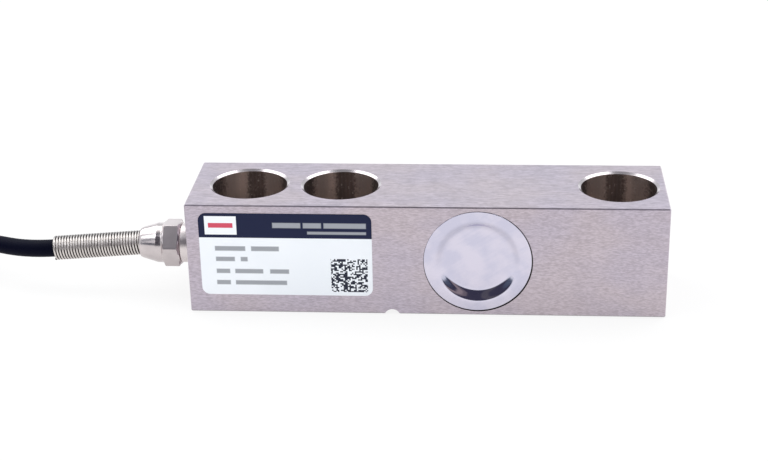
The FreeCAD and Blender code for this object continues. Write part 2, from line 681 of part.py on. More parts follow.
def make_spring():
    """Close-wound spring, a ridge for every turn, that droops out of the mouth of the nose."""
    crest = sheet.spring_diameter
    root = sheet.spring_diameter - sheet.spring_wire
    turns = int(sheet.spring_turns)
    outward = Vector(-1, 0, 0)
    start = Vector(sheet.mouth_depth / 2 - sheet.spring_seat, 0, 0)
    rings = []
    for step in range(2 * turns + 1):
        centre = start + outward * (step * sheet.spring_wire / 2)
        rings.append(flat_ring(centre, outward, crest if step % 2 else root, SPRING_FLATS))
    faces = [Part.Face(rings[0]), Part.Face(rings[-1])]
    for near, far in zip(rings, rings[1:]):
        for near_edge, far_edge in zip(near.Edges, far.Edges):
            a, b = [vertex.Point for vertex in near_edge.Vertexes]
            d, c = [vertex.Point for vertex in far_edge.Vertexes]
            faces.append(Part.Face(Part.makePolygon([a, b, c, d, a])))
    ridged = Part.Solid(Part.Shell(faces))
    way = Part.makeCylinder(sheet.spring_bore / 2, turns * sheet.spring_wire, start, outward)
    droop = Rotation(Vector(0, -1, 0), sheet.spring_droop)
    add_shape("strain_relief_spring", ridged.cut(way), Placement(droop_pivot(), droop))


def cable_route():
    """Corners of the cable's route: straight through the gland, down with the spring, then to the floor."""
    end_face = -sheet.beam_length / 2
    droop = math.radians(sheet.spring_droop)
    sheath_end = Vector(end_face + sheet.sheath_entry, 0, sheet.gland_height)
    past_spring = Vector(-math.cos(droop), 0, -math.sin(droop)) * sheet.droop_reach
    pivot = droop_pivot()
    outside = [Vector(end_face - past, rear, up) for past, rear, up in ROUTE_OUTSIDE]
    return [sheath_end, pivot, pivot + past_spring] + outside


def make_cable():
    """Cable from inside the gland to the hank."""
    route = cable_route()
    path, radii = tangent_path(route)
    lead = swept(path, route, sheet.cable_diameter, CABLE_FLATS)
    section = Part.Face(flat_ring(route[0], route[1] - route[0], sheet.cable_diameter, CABLE_FLATS)).Area
    print("cable radii", [round(r, 1) for r in radii])
    print("cable runs", [round((b - a).Length, 1) for a, b in zip(route, route[1:])])
    print("cable lead", round(path.Length, 1), "long; volume over section times length",
          round(lead.Volume / section / path.Length, 4))
    add_shape("cable_lead", lead)


def hank_frame():
    """Middle of the hank's near fold on the floor, and the direction in which the cable enters it."""
    floor_end = cable_route()[-1]
    entry = floor_end - cable_route()[-2]
    entry.normalize()
    left = Vector(-entry.y, entry.x, 0)
    last_turn = sheet.hank_fold / 2 + (sheet.hank_turns_wide - 1) * sheet.cable_diameter / 2
    centre = floor_end + entry * sheet.hank_entry + left * last_turn
    centre.z = 0
    return centre, entry, left


def stadium(radius):
    """Outline of a turn of the hank: two folds of that radius, joined by the straight runs."""
    centre, entry, left = hank_frame()
    corners = []
    for fold, start in ((centre, 90.0), (centre + entry * sheet.hank_run, -90.0)):
        for step in range(FOLD_FLATS + 1):
            turn = math.radians(start + 180.0 * step / FOLD_FLATS)
            corners.append(fold + (entry * math.cos(turn) + left * math.sin(turn)) * radius)
    return Part.Face(Part.makePolygon(corners + corners[:1]))


def make_hank():
    """Outer shape of the put-away hank, with the cable's straight way into it."""
    entry = hank_frame()[1]
    wide = sheet.hank_turns_wide * sheet.cable_diameter
    high = Vector(0, 0, sheet.hank_turns_high * sheet.cable_diameter)
    ring = stadium((sheet.hank_fold + wide) / 2).extrude(high)
    hole = stadium((sheet.hank_fold - wide) / 2).extrude(high)
    turns = ring.cut(hole)
    turns.translate(Vector(0, 0, sheet.tie_thickness))
    way_in = flat_rod(cable_route()[-1], entry, sheet.hank_entry, sheet.cable_diameter, CABLE_FLATS)
    add_shape("cable_hank", turns.fuse(way_in).removeSplitter())


def make_ties():
    """The two ties that the hank rests on, one round the middle of each run, locked on its inside."""
    centre, entry, left = hank_frame()
    wide = sheet.hank_turns_wide * sheet.cable_diameter
    high = sheet.hank_turns_high * sheet.cable_diameter
    band = sheet.tie_thickness
    width = sheet.tie_width
    head = sheet.tie_head
    inside = (sheet.hank_fold - wide) / 2
    loop = Part.makeBox(width, wide + 2 * band, high + 2 * band, Vector(-width / 2, inside - band, 0))
    gap = Part.makeBox(width, wide, high, Vector(-width / 2, inside, band))
    lock = Part.makeBox(head, head, head, Vector(-head / 2, inside - band - head, (high - head) / 2 + band))
    tie = loop.cut(gap).fuse(lock).removeSplitter()
    middle = centre + entry * (sheet.hank_run / 2)
    for name, side in SIDES.items():
        turn = math.degrees(math.atan2(left.y, left.x)) + 90.0 * side
        add_shape(f"hank_tie_{name}", tie, Placement(middle, Rotation(Vector(0, 0, 1), turn)))


def make_far_end():
    """Sleeve and stripped cores of the cable's far end, lying on top of the hank."""
    centre, entry, left = hank_frame()
    way = -entry
    last_turn = sheet.hank_fold / 2 + (sheet.hank_turns_wide - 1) * sheet.cable_diameter / 2
    sleeve_from = centre + entry * (sheet.hank_run - sheet.end_from_fold) + left * last_turn
    top = sheet.tie_thickness + sheet.hank_turns_high * sheet.cable_diameter
    sleeve_from.z = top + sheet.sleeve_diameter / 2
    sleeve = flat_rod(sleeve_from, way, sheet.sleeve_length, sheet.sleeve_diameter, CABLE_FLATS)
    add_shape("cable_end_sleeve", sleeve)
    tails_from = sleeve_from + way * (sheet.sleeve_length + sheet.thread_gap)
    fall = Vector(0, 0, sheet.sleeve_diameter / 2 - sheet.tail_lane - sheet.tail_diameter / 2)
    for colour, (across, up) in TAILS.items():
        start = tails_from + left * (across * sheet.tail_lane) + Vector(0, 0, up * sheet.tail_lane)
        spread = left * (across * sheet.tail_lane * (2 - up))
        reach = way * sheet.tail_length + spread - fall
        tail = flat_rod(start, reach, sheet.tail_length, sheet.tail_diameter, CORE_FLATS)
        add_shape(f"tail_{colour}", tail)


make_beam()
for side_name, side_sign in SIDES.items():
    make_cover(side_name, side_sign)
    make_gauge(side_name, side_sign)
make_board()
make_gland()
make_label()
make_cores()
make_gauge_leads()
make_spring()
make_cable()
make_hank()
make_ties()
make_far_end()
doc.recompute()

for item in doc.Objects:
    if "Invalid" in item.State or "Error" in item.State:
        raise RuntimeError(f"{item.Name} failed: {item.State}")
PIECE_KINDS = ("PartDesign::Body", "Part::Feature", "Part::Compound")
pieces = [item for item in doc.Objects if item.TypeId in PIECE_KINDS]
for piece in pieces:
    if piece.Shape.isNull() or not piece.Shape.isValid():
        raise RuntimeError(f"{piece.Label} has no valid shape")
os.makedirs("parts", exist_ok=True)
for piece in pieces:
    piece.Shape.exportStep(f"parts/{piece.Label}.step")
    print(piece.Label, len(piece.Shape.Solids), "solids", round(piece.Shape.Volume, 2), "cubic mm")
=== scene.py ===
import math

import bmesh
import bpy
import numpy as np
from mathutils import Matrix, Vector


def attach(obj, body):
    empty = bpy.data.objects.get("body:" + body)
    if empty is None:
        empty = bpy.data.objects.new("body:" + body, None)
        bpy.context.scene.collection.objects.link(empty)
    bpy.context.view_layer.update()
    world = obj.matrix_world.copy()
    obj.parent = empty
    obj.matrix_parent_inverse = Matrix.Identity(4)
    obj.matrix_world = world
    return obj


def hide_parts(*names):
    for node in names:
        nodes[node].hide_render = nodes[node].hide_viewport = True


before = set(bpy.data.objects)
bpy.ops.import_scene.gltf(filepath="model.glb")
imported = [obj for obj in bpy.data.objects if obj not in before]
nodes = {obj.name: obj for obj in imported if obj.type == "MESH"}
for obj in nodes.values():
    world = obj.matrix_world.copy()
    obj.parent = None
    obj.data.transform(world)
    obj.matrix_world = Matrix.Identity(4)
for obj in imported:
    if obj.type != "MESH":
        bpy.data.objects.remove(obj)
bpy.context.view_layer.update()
MM = 0.001

# %% [markdown]
# A shear-beam load cell is a square steel bar that is bolted down at one end and loaded at the
# other. This scene dresses its solids: brushed steel, bright dished covers, a printed label, a
# plated gland, a wire spring and a soft black cable. Everything is in the frame of the solids, so
# a new piece goes exactly where its solid is. The part's sizes are written in millimetres, and MM
# turns them into metres.

# %% [markdown]
# The camera comes first, because everything is judged through it. It looks a little down on the
# labelled side, through a long lens. It could be set by eye, but a bar of known size allows better:
# place, turn and lens were found by fitting the bar's corners and holes to the picture.

# %% Camera
CAMERA_AT = Vector((19.664, -410.295, 198.677)) * MM
CAMERA_YAW = math.radians(-4.450924)
CAMERA_DOWN = math.radians(23.711325)
CAMERA_ROLL = math.radians(1.196818)
CAMERA_LENS = 75.469
SENSOR_WIDTH = 36
NEAREST_SEEN = 0.01

scene = bpy.context.scene
scene.view_settings.view_transform = "Standard"
look = Vector((
    math.sin(CAMERA_YAW) * math.cos(CAMERA_DOWN),
    math.cos(CAMERA_YAW) * math.cos(CAMERA_DOWN),
    -math.sin(CAMERA_DOWN),
))
level = look.cross(Vector((0, 0, 1))).normalized()
below = look.cross(level)
right = level * math.cos(CAMERA_ROLL) + below * math.sin(CAMERA_ROLL)
down = below * math.cos(CAMERA_ROLL) - level * math.sin(CAMERA_ROLL)
camera_data = bpy.data.cameras.new("camera")
camera_data.lens = CAMERA_LENS
camera_data.sensor_width = SENSOR_WIDTH
camera_data.sensor_fit = "HORIZONTAL"
camera_data.clip_start = NEAREST_SEEN
camera = bpy.data.objects.new("camera", camera_data)
scene.collection.objects.link(camera)
camera_turn = Matrix((right, -down, -look)).transposed().to_4x4()
camera.matrix_world = Matrix.Translation(CAMERA_AT) @ camera_turn
scene.camera = camera
print("camera looks along", [round(c, 3) for c in look])

# %% [markdown]
# Shader maths could be wired up node by node, but it reads best as plain arithmetic. So one small
# class wraps a node's output: adding or multiplying two of them adds the Math node that does it,
# and `node` makes any other kind.

# %% Sockets
class Wire:
    """An output of one node tree, with arithmetic that adds Math nodes to that tree."""

    def __init__(self, tree, out=None):
        self.tree = tree
        self.out = out

    def node(self, kind, settings=None, inputs=None, output=0):
        """New node: its settings first, then a value or a wire for each input."""
        made = self.tree.nodes.new(kind)
        for key, value in (settings or {}).items():
            setattr(made, key, value)
        for key, value in (inputs or {}).items():
            if isinstance(value, Wire):
                self.tree.links.new(value.out, made.inputs[key])
            elif value is not None:
                made.inputs[key].default_value = value
        return Wire(self.tree, made.outputs[output] if made.outputs else None)

    def math(self, operation, a, b=None):
        """Math node of one or two values."""
        return self.node("ShaderNodeMath", {"operation": operation}, {0: a, 1: b})

    def __add__(self, other):
        return self.math("ADD", self, other)

    def __radd__(self, other):
        return self.math("ADD", other, self)

    def __sub__(self, other):
        return self.math("SUBTRACT", self, other)

    def __rsub__(self, other):
        return self.math("SUBTRACT", other, self)

    def __mul__(self, other):
        return self.math("MULTIPLY", self, other)

    def __rmul__(self, other):
        return self.math("MULTIPLY", other, self)

    def __truediv__(self, other):
        return self.math("DIVIDE", self, other)

    def __abs__(self):
        return self.math("ABSOLUTE", self)

    def low(self, other):
        """The smaller of two values."""
        return self.math("MINIMUM", self, other)

    def high(self, other):
        """The larger of two values."""
        return self.math("MAXIMUM", self, other)

    def length(self, other):
        """Length of the diagonal of two values: the root of the sum of their squares."""
        return self.math("SQRT", self * self + other * other)

    def ramp(self, start, end, to_start=0.0, to_end=1.0):
        """Smooth rise from one value to another as this value goes from start to end."""
        ends = {"From Min": start, "From Max": end, "To Min": to_start, "To Max": to_end}
        settings = {"interpolation_type": "SMOOTHSTEP"}
        return self.node("ShaderNodeMapRange", settings, {"Value": self, **ends})

    def mix(self, first, second):
        """Colour between two colours, with this value as the share of the second."""
        pair = {6: (*first, 1) if isinstance(first, tuple) else first,
                7: (*second, 1) if isinstance(second, tuple) else second}
        return self.node("ShaderNodeMix", {"data_type": "RGBA"}, {"Factor": self, **pair}, 2)

    def place(self):
        """Object coordinates, which are the part's own metres."""
        return self.node("ShaderNodeTexCoord", output="Object")

    def axes(self):
        """The x, y and z of this vector."""
        split = self.node("ShaderNodeSeparateXYZ", {}, {0: self})
        return [Wire(self.tree, out) for out in split.out.node.outputs]

    def millimetres(self):
        """The x, y and z of this vector of metres, in millimetres."""
        return [axis * 1000.0 for axis in self.axes()]

    def noise(self, vector, per_metre, detail=2.0, rough=0.5):
        """Noise with so many cells a metre along each axis of the vector."""
        scaled = self.node("ShaderNodeMapping", {}, {"Vector": vector, "Scale": per_metre})
        inputs = {"Vector": scaled, "Scale": 1.0, "Detail": detail, "Roughness": rough}
        return self.node("ShaderNodeTexNoise", {}, inputs)

    def bump(self, height, strength, distance):
        """Normal that leans as the height changes, over a depth in metres."""
        inputs = {"Height": height, "Strength": strength, "Distance": distance}
        return self.node("ShaderNodeBump", {}, inputs)

    def rays(self, *kinds):
        """1 for a ray of any of the kinds named, as Light Path tells them."""
        outputs = self.node("ShaderNodeLightPath").out.node.outputs
        found = Wire(self.tree, outputs[kinds[0]])
        for kind in kinds[1:]:
            found = found.high(Wire(self.tree, outputs[kind]))
        return found


def new_material(name):
    """Empty node material, and the wire that builds in its tree."""
    material = bpy.data.materials.new(name)
    material.use_nodes = True
    material.node_tree.nodes.clear()
    return material, Wire(material.node_tree)


def shade(wire, **sockets):
    """Principled surface: each keyword is a socket's name, with _ for a space."""
    inputs = {}
    for key, value in sockets.items():
        inputs[key.replace("_", " ")] = (*value, 1) if isinstance(value, tuple) else value
    surface = wire.node("ShaderNodeBsdfPrincipled", {}, inputs)
    wire.node("ShaderNodeOutputMaterial", {}, {"Surface": surface})


print("a wire can", [name for name in vars(Wire) if not name.startswith("_")])

# %% [markdown]
# New pieces could be built from Blender's primitives and modifiers. Here they are grids of points,
# worked out as whole arrays, because a formula gives exactly the real size: a turned piece carries
# a profile round an axis, a wire or a band carries a section along a path, and either way the grid
# becomes quads.

# %% Grids
SAME_PLACE = 1e-7
SHARP_EDGE = 40


def grid_mesh(name, points, wrap):
    """Mesh of a grid of points.

    Cell (i, j) is the quad of points i and i+1, j and j+1, and a wrapped way joins its ends.
    """
    rows, columns = points.shape[:2]
    index = np.arange(rows * columns).reshape(rows, columns)
    here = index if wrap[0] else index[:-1]
    ahead = np.roll(index, -1, 0) if wrap[0] else index[1:]
    left = slice(None) if wrap[1] else slice(None, -1)

    def beside(block):
        """The same points, one column on."""
        return np.roll(block, -1, 1) if wrap[1] else block[:, 1:]

    quads = np.stack([here[:, left], ahead[:, left], beside(ahead), beside(here)], -1)
    mesh = bpy.data.meshes.new(name)
    mesh.from_pydata(points.reshape(-1, 3).tolist(), [], quads.reshape(-1, 4).tolist())
    return mesh


def smoothed(mesh, sharp_degrees):
    """Smooth shading, with an edge kept wherever faces turn by more than so many degrees."""
    mesh.polygons.foreach_set("use_smooth", np.ones(len(mesh.polygons), bool))
    mesh.set_sharp_from_angle(angle=math.radians(sharp_degrees))
    mesh.update()


def closed(mesh, fill_ends=False):
    """The mesh with open ends filled on request, points at one place merged, faces outwards."""
    shape = bmesh.new()
    shape.from_mesh(mesh)
    if fill_ends:
        bmesh.ops.holes_fill(shape, edges=shape.edges, sides=0)
    bmesh.ops.remove_doubles(shape, verts=shape.verts, dist=SAME_PLACE)
    bmesh.ops.recalc_face_normals(shape, faces=shape.faces)
    shape.to_mesh(mesh)
    shape.free()
    smoothed(mesh, SHARP_EDGE)
    return mesh


def new_piece(name, mesh, material, slot, *replaced):
    """Object at the origin that rides on the one body and stands for the solids it replaces."""
    piece = bpy.data.objects.new(name, mesh)
    scene.collection.objects.link(piece)
    mesh.materials.append(material)
    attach(piece, "root")
    if replaced:
        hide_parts(*replaced)
    return piece


def grid_piece(name, points, wrap, material, slot, *replaced):
    """New piece of a grid that closes on itself or at its poles."""
    return new_piece(name, closed(grid_mesh(name, points, wrap)), material, slot, *replaced)


def tube_piece(name, points, material, slot, *replaced):
    """New piece of a tube's grid, whose two open ends are filled."""
    mesh = closed(grid_mesh(name, points, (False, True)), fill_ends=True)
    return new_piece(name, mesh, material, slot, *replaced)


print("grids keep an edge where faces turn by more than", SHARP_EDGE, "degrees")

# %% [markdown]
# The cable leaves the gland inside a spring, sinks to the table and runs out of the picture, where
# its spare length lies folded in a tied hank, in line with the bar. Each turn could be a piece of
# its own, but a cable is one length, so one smooth spline carries it all: the corners of its route
# are the control points, and the hank's turns are more points of the same spline.

# %% Cable route
CABLE = 5.0
ROUTE = [
    (-64.5, 0.0, 13.6),
    (-80.2, 0.0, 13.6),
    (-97.94, 0.0, 12.14),
    (-113.99, 0.0, 10.82),
    (-128.2, 7.4, 9.7),
    (-140.8, 14.6, 7.3),
    (-154.5, 20.0, 3.5),
    (-167.5, 20.0, 3.5),
]
HANK_X = -183.5
HANK_RUN = 100.0
OUTER_TURN = 20.0
HANK_FOOT = 3.5
RUN_POINTS = 4
FOLD_POINTS = 6
# Moves from one point of the hank to another: first point, last point, outwards, upwards. A layer
# goes in, the next comes out, and the cable climbs just before the place of its own last move.
HANK_MOVES = [
    (12, 13, -CABLE, 0.0),
    (31, 32, 0.0, CABLE),
    (50, 51, CABLE, 0.0),
    (67, 70, 0.0, CABLE),
    (84, 87, -CABLE, 0.0),
    (102, 103, 0.0, CABLE),
    (121, 122, CABLE, 0.0),
    (140, 141, 0.0, CABLE),
    (156, 159, -CABLE, 0.0),
    (163, 166, 0.0, 5.3),
    (166, 169, CABLE, 0.0),
]
HANK_POINTS = 171
SLEEVE_START = -281.5
SLEEVE_HEIGHT = 28.8
SLEEVE_OVERLAP = 4.0


def hank_lap():
    """One lap of the hank: where each point's run or fold stands along X, and its way outwards.

    A run keeps its side. A fold's points stand on the corners of an outline that its circle just
    touches, so the spline, which touches the middle of each side, follows the circle.
    """
    run = np.linspace(0, -HANK_RUN, RUN_POINTS)
    step = np.pi / FOLD_POINTS
    turn = np.pi / 2 + step * (np.arange(FOLD_POINTS) + 0.5)
    fold = np.stack([np.cos(turn), np.sin(turn)], 1) / math.cos(step / 2)
    side = np.tile([0.0, 1.0], (RUN_POINTS, 1))
    far_fold = np.full(FOLD_POINTS, -HANK_RUN)
    along = np.concatenate([run, far_fold, run[::-1], np.zeros(FOLD_POINTS)])
    return along, np.concatenate([side, fold, -side, -fold])


def hank_points():
    """Laps of the hank, with the distance outwards and the height as broken lines over them."""
    number, outwards, height = [0], [OUTER_TURN], [HANK_FOOT]
    for first, last, sideways, upwards in HANK_MOVES:
        number.extend([first, last])
        outwards.extend([outwards[-1], outwards[-1] + sideways])
        height.extend([height[-1], height[-1] + upwards])
    steps = np.arange(HANK_POINTS)
    along, out = hank_lap()
    lap = steps % len(along)
    reach = np.interp(steps, number, outwards)
    return np.stack([
        HANK_X + along[lap] + reach * out[lap, 0],
        reach * out[lap, 1],
        np.interp(steps, number, height),
    ], 1)


def cable_curve():
    """Round cable on one spline through the route and the hank, into the sleeve on top of it."""
    end = (SLEEVE_START + SLEEVE_OVERLAP, -OUTER_TURN, SLEEVE_HEIGHT)
    points = np.concatenate([np.array(ROUTE), hank_points(), np.array([end])]) * MM
    curve = bpy.data.curves.new("cable", "CURVE")
    curve.dimensions = "3D"
    curve.bevel_depth = CABLE / 2 * MM
    curve.bevel_resolution = 8
    curve.resolution_u = 8
    curve.use_fill_caps = True
    spline = curve.splines.new("NURBS")
    spline.points.add(len(points) - 1)
    weighted = np.column_stack([points, np.ones(len(points))])
    spline.points.foreach_set("co", weighted.ravel())
    spline.order_u = 3
    spline.use_endpoint_u = True
    return curve


print("laps of the hank", HANK_POINTS / len(hank_lap()[0]))

# %% [markdown]
# The sheath is soft black plastic with a faint blue cast. One flat colour would look like paint: a
# fine grain and a slow unevenness break up the highlight, which is what tells rubbery plastic. The
# same finish, in other colours, serves the ties, the sleeve, the gasket and the cores.

# %% Plastics
def plastic(name, colour, rough, specular=0.5):
    """Moulded plastic: slow colour change, fine grain in the bump, a little change of gloss."""
    variation = 0.12
    material, wire = new_material(name)
    place = wire.place()
    slow = wire.noise(place, (60, 60, 60), 3)
    fine = wire.noise(place, (900, 900, 900), 2)
    darker = tuple(c * (1 - variation) for c in colour)
    lighter = tuple(min(1, c * (1 + variation)) for c in colour)
    shade(
        wire,
        Base_Color=slow.ramp(0.3, 0.7).mix(darker, lighter),
        Roughness=slow.ramp(0.3, 0.7, rough - 0.05, rough + 0.06),
        Normal=wire.bump(fine, 0.35, 0.00002),
        Specular_IOR_Level=specular,
    )
    return material


sheath = plastic("black_sheath", (0.0011, 0.0016, 0.0096), 0.5, 0.05)
nylon = plastic("black_nylon", (0.016, 0.016, 0.017), 0.48)
shrink = plastic("shrunk_sleeve", (0.012, 0.012, 0.013), 0.55)
rubber = plastic("gasket_rubber", (0.012, 0.011, 0.011), 0.6)
print("plastics", [finish.name for finish in (sheath, nylon, shrink, rubber)])

# %% [markdown]
# With its route and its finish ready, the cable becomes a piece. It stays a curve with a round
# bevel, which is lighter than a mesh tube and can be measured along its line.

# %% Cable
cable_data = cable_curve()
cable_data.materials.append(sheath)
cable = bpy.data.objects.new("cable", cable_data)
scene.collection.objects.link(cable)
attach(cable, "root")
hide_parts("cable_lead", "cable_hank")
print("cable control points", len(cable_data.splines[0].points))

# %% [markdown]
# The bar is ground steel. Its sides carry short fine scratches that run along it, a little slanted
# here and there, over slow clouds of a warmer and a cooler grey. A noise stretched along X and
# swayed by a slower one gives them; the top takes coarser strokes. The shader also knows the bar's
# own sizes, so it can tell the cut edges, the rims of the holes, the bores and the cover seats
# apart without a second material. The bores, the seats and the foot carry painted shade, and the
# bores a painted sheen besides.

# %% Brushed steel
BAR_HALF = (65.0, 15.9, 15.9)
BAR_TOP = 31.8
EDGE_BREAK = 0.3
HOLES_X = (-49.3, -23.9, 52.3)
HOLE_RADIUS = 10.35
RIM_RADIUS = 11.1
COVER_X = 14.2
COVER_Z = 15.9
SEAT_RADIUS = 14.8
COOL_STEEL = ((0.435, 0.385, 0.445), (0.615, 0.55, 0.633))
WARM_STEEL = ((0.46, 0.397, 0.433), (0.64, 0.562, 0.614))
# Painted shade along the bottom edges, where the bar meets the table.
FOOT_SHADE_STEEL = (0.3, 0.285, 0.3)
RIM_STEEL = (0.51, 0.47, 0.49)
# The bores' colours are darkened: painted shade inside the holes.
SHADED_BORE_STEEL = ((0.21, 0.175, 0.165), (0.7, 0.61, 0.57))
NICK_STEEL = (1.0, 0.96, 0.93)
SEAT_SHADOW = (0.06, 0.055, 0.055)


def hole_offset(x):
    """How far along the bar the closest of the three bolt holes' axes is."""
    nearest = abs(x - HOLES_X[0])
    for hole in HOLES_X[1:]:
        nearest = nearest.low(abs(x - hole))
    return nearest


def broken_edges(x, y, z):
    """1 on the narrow cuts along the bar's edges.

    There the second nearest face is closer than the width of the cut.
    """
    depths = [abs(part) - half for part, half in zip((x, y, z - BAR_HALF[2]), BAR_HALF)]
    a, b, c = depths
    second = a.low(b).high(a.low(c)).high(b.low(c))
    return second.ramp(-EDGE_BREAK - 0.04, -EDGE_BREAK + 0.02)


def shaded_bore_colour(wire, place, offset):
    """Bore in painted shade: upright bands, specks, painted sheen each side of the middle, bright
    nicks.
    """
    bands = wire.noise(place, (240, 240, 14), 2)
    specks = wire.noise(place, (1500, 1500, 1500), 2)
    nicks = wire.noise(place, (1500, 1500, 1100), 1).ramp(0.64, 0.74)
    share = offset / HOLE_RADIUS
    # Painted sheen: a painted reflection to each side of the middle of the bore.
    sheen = share.ramp(0.1, 0.4) * share.ramp(0.97, 0.6)
    tone = bands * 0.35 + specks * 0.35 + sheen * 0.3
    return (nicks * 0.4).mix(tone.ramp(0.36, 0.61).mix(*SHADED_BORE_STEEL), NICK_STEEL)


def bar_finish():
    """Ground bar: the grain is dashes and strokes, noises stretched along X and swayed.

    Masks from the bar's own sizes then lay the foot's painted shade, the rims, bores and seats over
    it.
    """
    material, wire = new_material("ground_bar")
    place = wire.place()
    x, y, z = place.millimetres()
    sway = wire.noise(place, (22, 22, 22), 1)
    swayed = wire.node("ShaderNodeVectorMath", {"operation": "MULTIPLY_ADD"},
                       {0: sway, 1: (0, 0.004, 0.004), 2: place})
    dashes = wire.noise(swayed, (850, 4000, 4000), 3, 0.6)
    strokes = wire.noise(swayed, (300, 1300, 1300), 2)
    cloud = wire.noise(place, (40, 70, 70), 3)
    coarse = 0.2 + z.ramp(BAR_TOP - 0.3, BAR_TOP - 0.1) * 0.25
    grain = dashes * (1.0 - coarse) + strokes * coarse
    scratched = grain.ramp(0.35, 0.65)
    sides = cloud.ramp(0.35, 0.65).mix(scratched.mix(*COOL_STEEL), scratched.mix(*WARM_STEEL))
    offset = hole_offset(x)
    distance = offset.length(y)
    bored = distance.ramp(HOLE_RADIUS + 0.06, HOLE_RADIUS - 0.02)
    rim = distance.ramp(RIM_RADIUS + 0.04, RIM_RADIUS - 0.02) * (1.0 - bored)
    rim = rim * z.ramp(BAR_TOP - 0.8, BAR_TOP - 0.6)
    around = (x - COVER_X).length(z - COVER_Z)
    sunk = (BAR_HALF[1] - abs(y)).ramp(0.02, 0.06)
    seat = around.ramp(SEAT_RADIUS + 0.1, SEAT_RADIUS + 0.04) * sunk
    edges = broken_edges(x, y, z)
    # The bottom edges are painted darker: painted shade at the bar's foot.
    foot_shade = edges * z.ramp(0.6, 0.3)
    steel = rim.mix(foot_shade.mix(sides, FOOT_SHADE_STEEL), RIM_STEEL)
    # Inside the holes, the bore's painted shade and painted sheen.
    steel = bored.mix(steel, shaded_bore_colour(wire, place, offset))
    dull = grain.ramp(0.3, 0.7, 0.30, 0.42)
    gloss = dull + rim * (0.2 - dull)
    shade(
        wire,
        Base_Color=seat.mix(steel, SEAT_SHADOW),
        Metallic=1.0,
        Roughness=gloss + edges * (0.29 - gloss),
        Normal=wire.bump(grain * (1.0 - rim.high(edges)), 0.11, 0.00004),
    )
    return material


bar_material = bar_finish()
print("bar finish nodes", len(bar_material.node_tree.nodes))

# %% [markdown]
# The bar's shape is right as it is. Its solid is loose triangles, though, which shade flat, so the
# piece is a copy with the corners joined and smooth round walls. The steel pin that closes the
# wire channel keeps its solid and takes the bar's finish.

# %% Bar
ROUND_WALL = 28


def dress(material, *names):
    """Give a finish to solids that stay as they are."""
    for name in names:
        nodes[name].data.materials.clear()
        nodes[name].data.materials.append(material)


def merged_copy(node):
    """Fresh mesh of a solid's triangles, with corners at one place joined into one point.

    Places count as one where their coordinates agree once rounded, and a triangle that loses a
    corner by it is left out.
    """
    source = nodes[node].data
    places = np.empty(len(source.vertices) * 3, np.float32)
    source.vertices.foreach_get("co", places)
    corners = np.empty(len(source.loops), np.int32)
    source.loops.foreach_get("vertex_index", corners)
    keys = np.round(places.reshape(-1, 3) / SAME_PLACE).astype(np.int64)
    _, first, same = np.unique(keys, axis=0, return_index=True, return_inverse=True)
    faces = same.reshape(-1)[corners].reshape(-1, 3)
    whole = np.all(faces != np.roll(faces, -1, 1), axis=1)
    mesh = bpy.data.meshes.new(node + "_copy")
    mesh.from_pydata(places.reshape(-1, 3)[first].tolist(), [], faces[whole].tolist())
    return mesh


bar_mesh = merged_copy("beam_body")
smoothed(bar_mesh, ROUND_WALL)
new_piece("steel_bar", bar_mesh, bar_material, "bar_steel", "beam_body")
dress(bar_material, "channel_plug")
print("bar triangles", len(bar_mesh.polygons))

# %% [markdown]
# A cover is a disc of bright sheet, pressed into a shallow dish and set flush in its seat. A plain
# turned shape would have knife-sharp bends. Pressed sheet bends softly, so the corners of the
# profile are eased before it is carried round, and they catch the light as pressed metal does.

# %% Turned shapes
def rounded(corners, radii, steps=6):
    """Profile with eased corners: each is a curve that leaves its sides a radius before it.

    The curve is (1-t)^2 of its start, 2t(1-t) of the corner and t^2 of its end.
    """
    corners = np.array(corners, float)
    t = np.linspace(0, 1, steps)[:, None]
    parts = []
    around = zip(np.roll(corners, 1, 0), corners, np.roll(corners, -1, 0), radii)
    for before, corner, after, radius in around:
        if radius == 0:
            parts.append(corner[None])
            continue
        start = corner + (before - corner) / np.linalg.norm(before - corner) * radius
        end = corner + (after - corner) / np.linalg.norm(after - corner) * radius
        parts.append((1 - t) ** 2 * start + 2 * t * (1 - t) * corner + t ** 2 * end)
    return np.concatenate(parts)


def turned(profile, centre, axis, out, steps):
    """Profile of (along, radius) carried round an axis.

    A point is the centre, plus axis times along, plus radius times the circle of out and its
    square.
    """
    axis = np.array(axis, float)
    out = np.array(out, float)
    square = np.cross(axis, out)
    angle = np.linspace(0, 2 * np.pi, steps, endpoint=False)
    circle = np.cos(angle)[:, None] * out + np.sin(angle)[:, None] * square
    along, radius = np.asarray(profile, float).T
    reach = radius[None, :, None] * circle[:, None, :]
    return np.array(centre) + along[None, :, None] * axis + reach


print("an eased corner has", len(rounded([(0, 0), (1, 0), (1, 1)], [0, 0.2, 0])) - 2, "points")

# %% [markdown]
# The sheet itself is almost a mirror, so most of its look is what it reflects. A slow unevenness
# and faint straight lines from the rolling mill keep it from looking like glass.

# %% Covers
FACE_Y = 15.9
COVER_SHEET = 0.8
DISH_DEPTH = 1.5
DISH_FLOOR = 9.4
DISH_EDGE = 11.6
COVER_RADIUS = 14.6
COVER_STEPS = 192
DISH_SLOPE = math.atan2(DISH_DEPTH, DISH_EDGE - DISH_FLOOR)
COVER_BEND = COVER_SHEET * math.tan(DISH_SLOPE / 2)
COVER_PROFILE = [
    (DISH_DEPTH, 0.0), (DISH_DEPTH, DISH_FLOOR), (0.0, DISH_EDGE), (0.0, COVER_RADIUS),
    (COVER_SHEET, COVER_RADIUS), (COVER_SHEET, DISH_EDGE + COVER_BEND),
    (DISH_DEPTH + COVER_SHEET, DISH_FLOOR + COVER_BEND), (DISH_DEPTH + COVER_SHEET, 0.0),
]
COVER_EASE = [0, 0.95, 0.8, 0.18, 0.12, 0.4, 0.6, 0]
# A pressed-in disc never sits quite centred in its seat: this one is up and towards the cable.
COVER_LEAN = (-0.125, 0.12)
SHEET_COLOURS = ((0.6, 0.585, 0.715), (0.695, 0.66, 0.77))


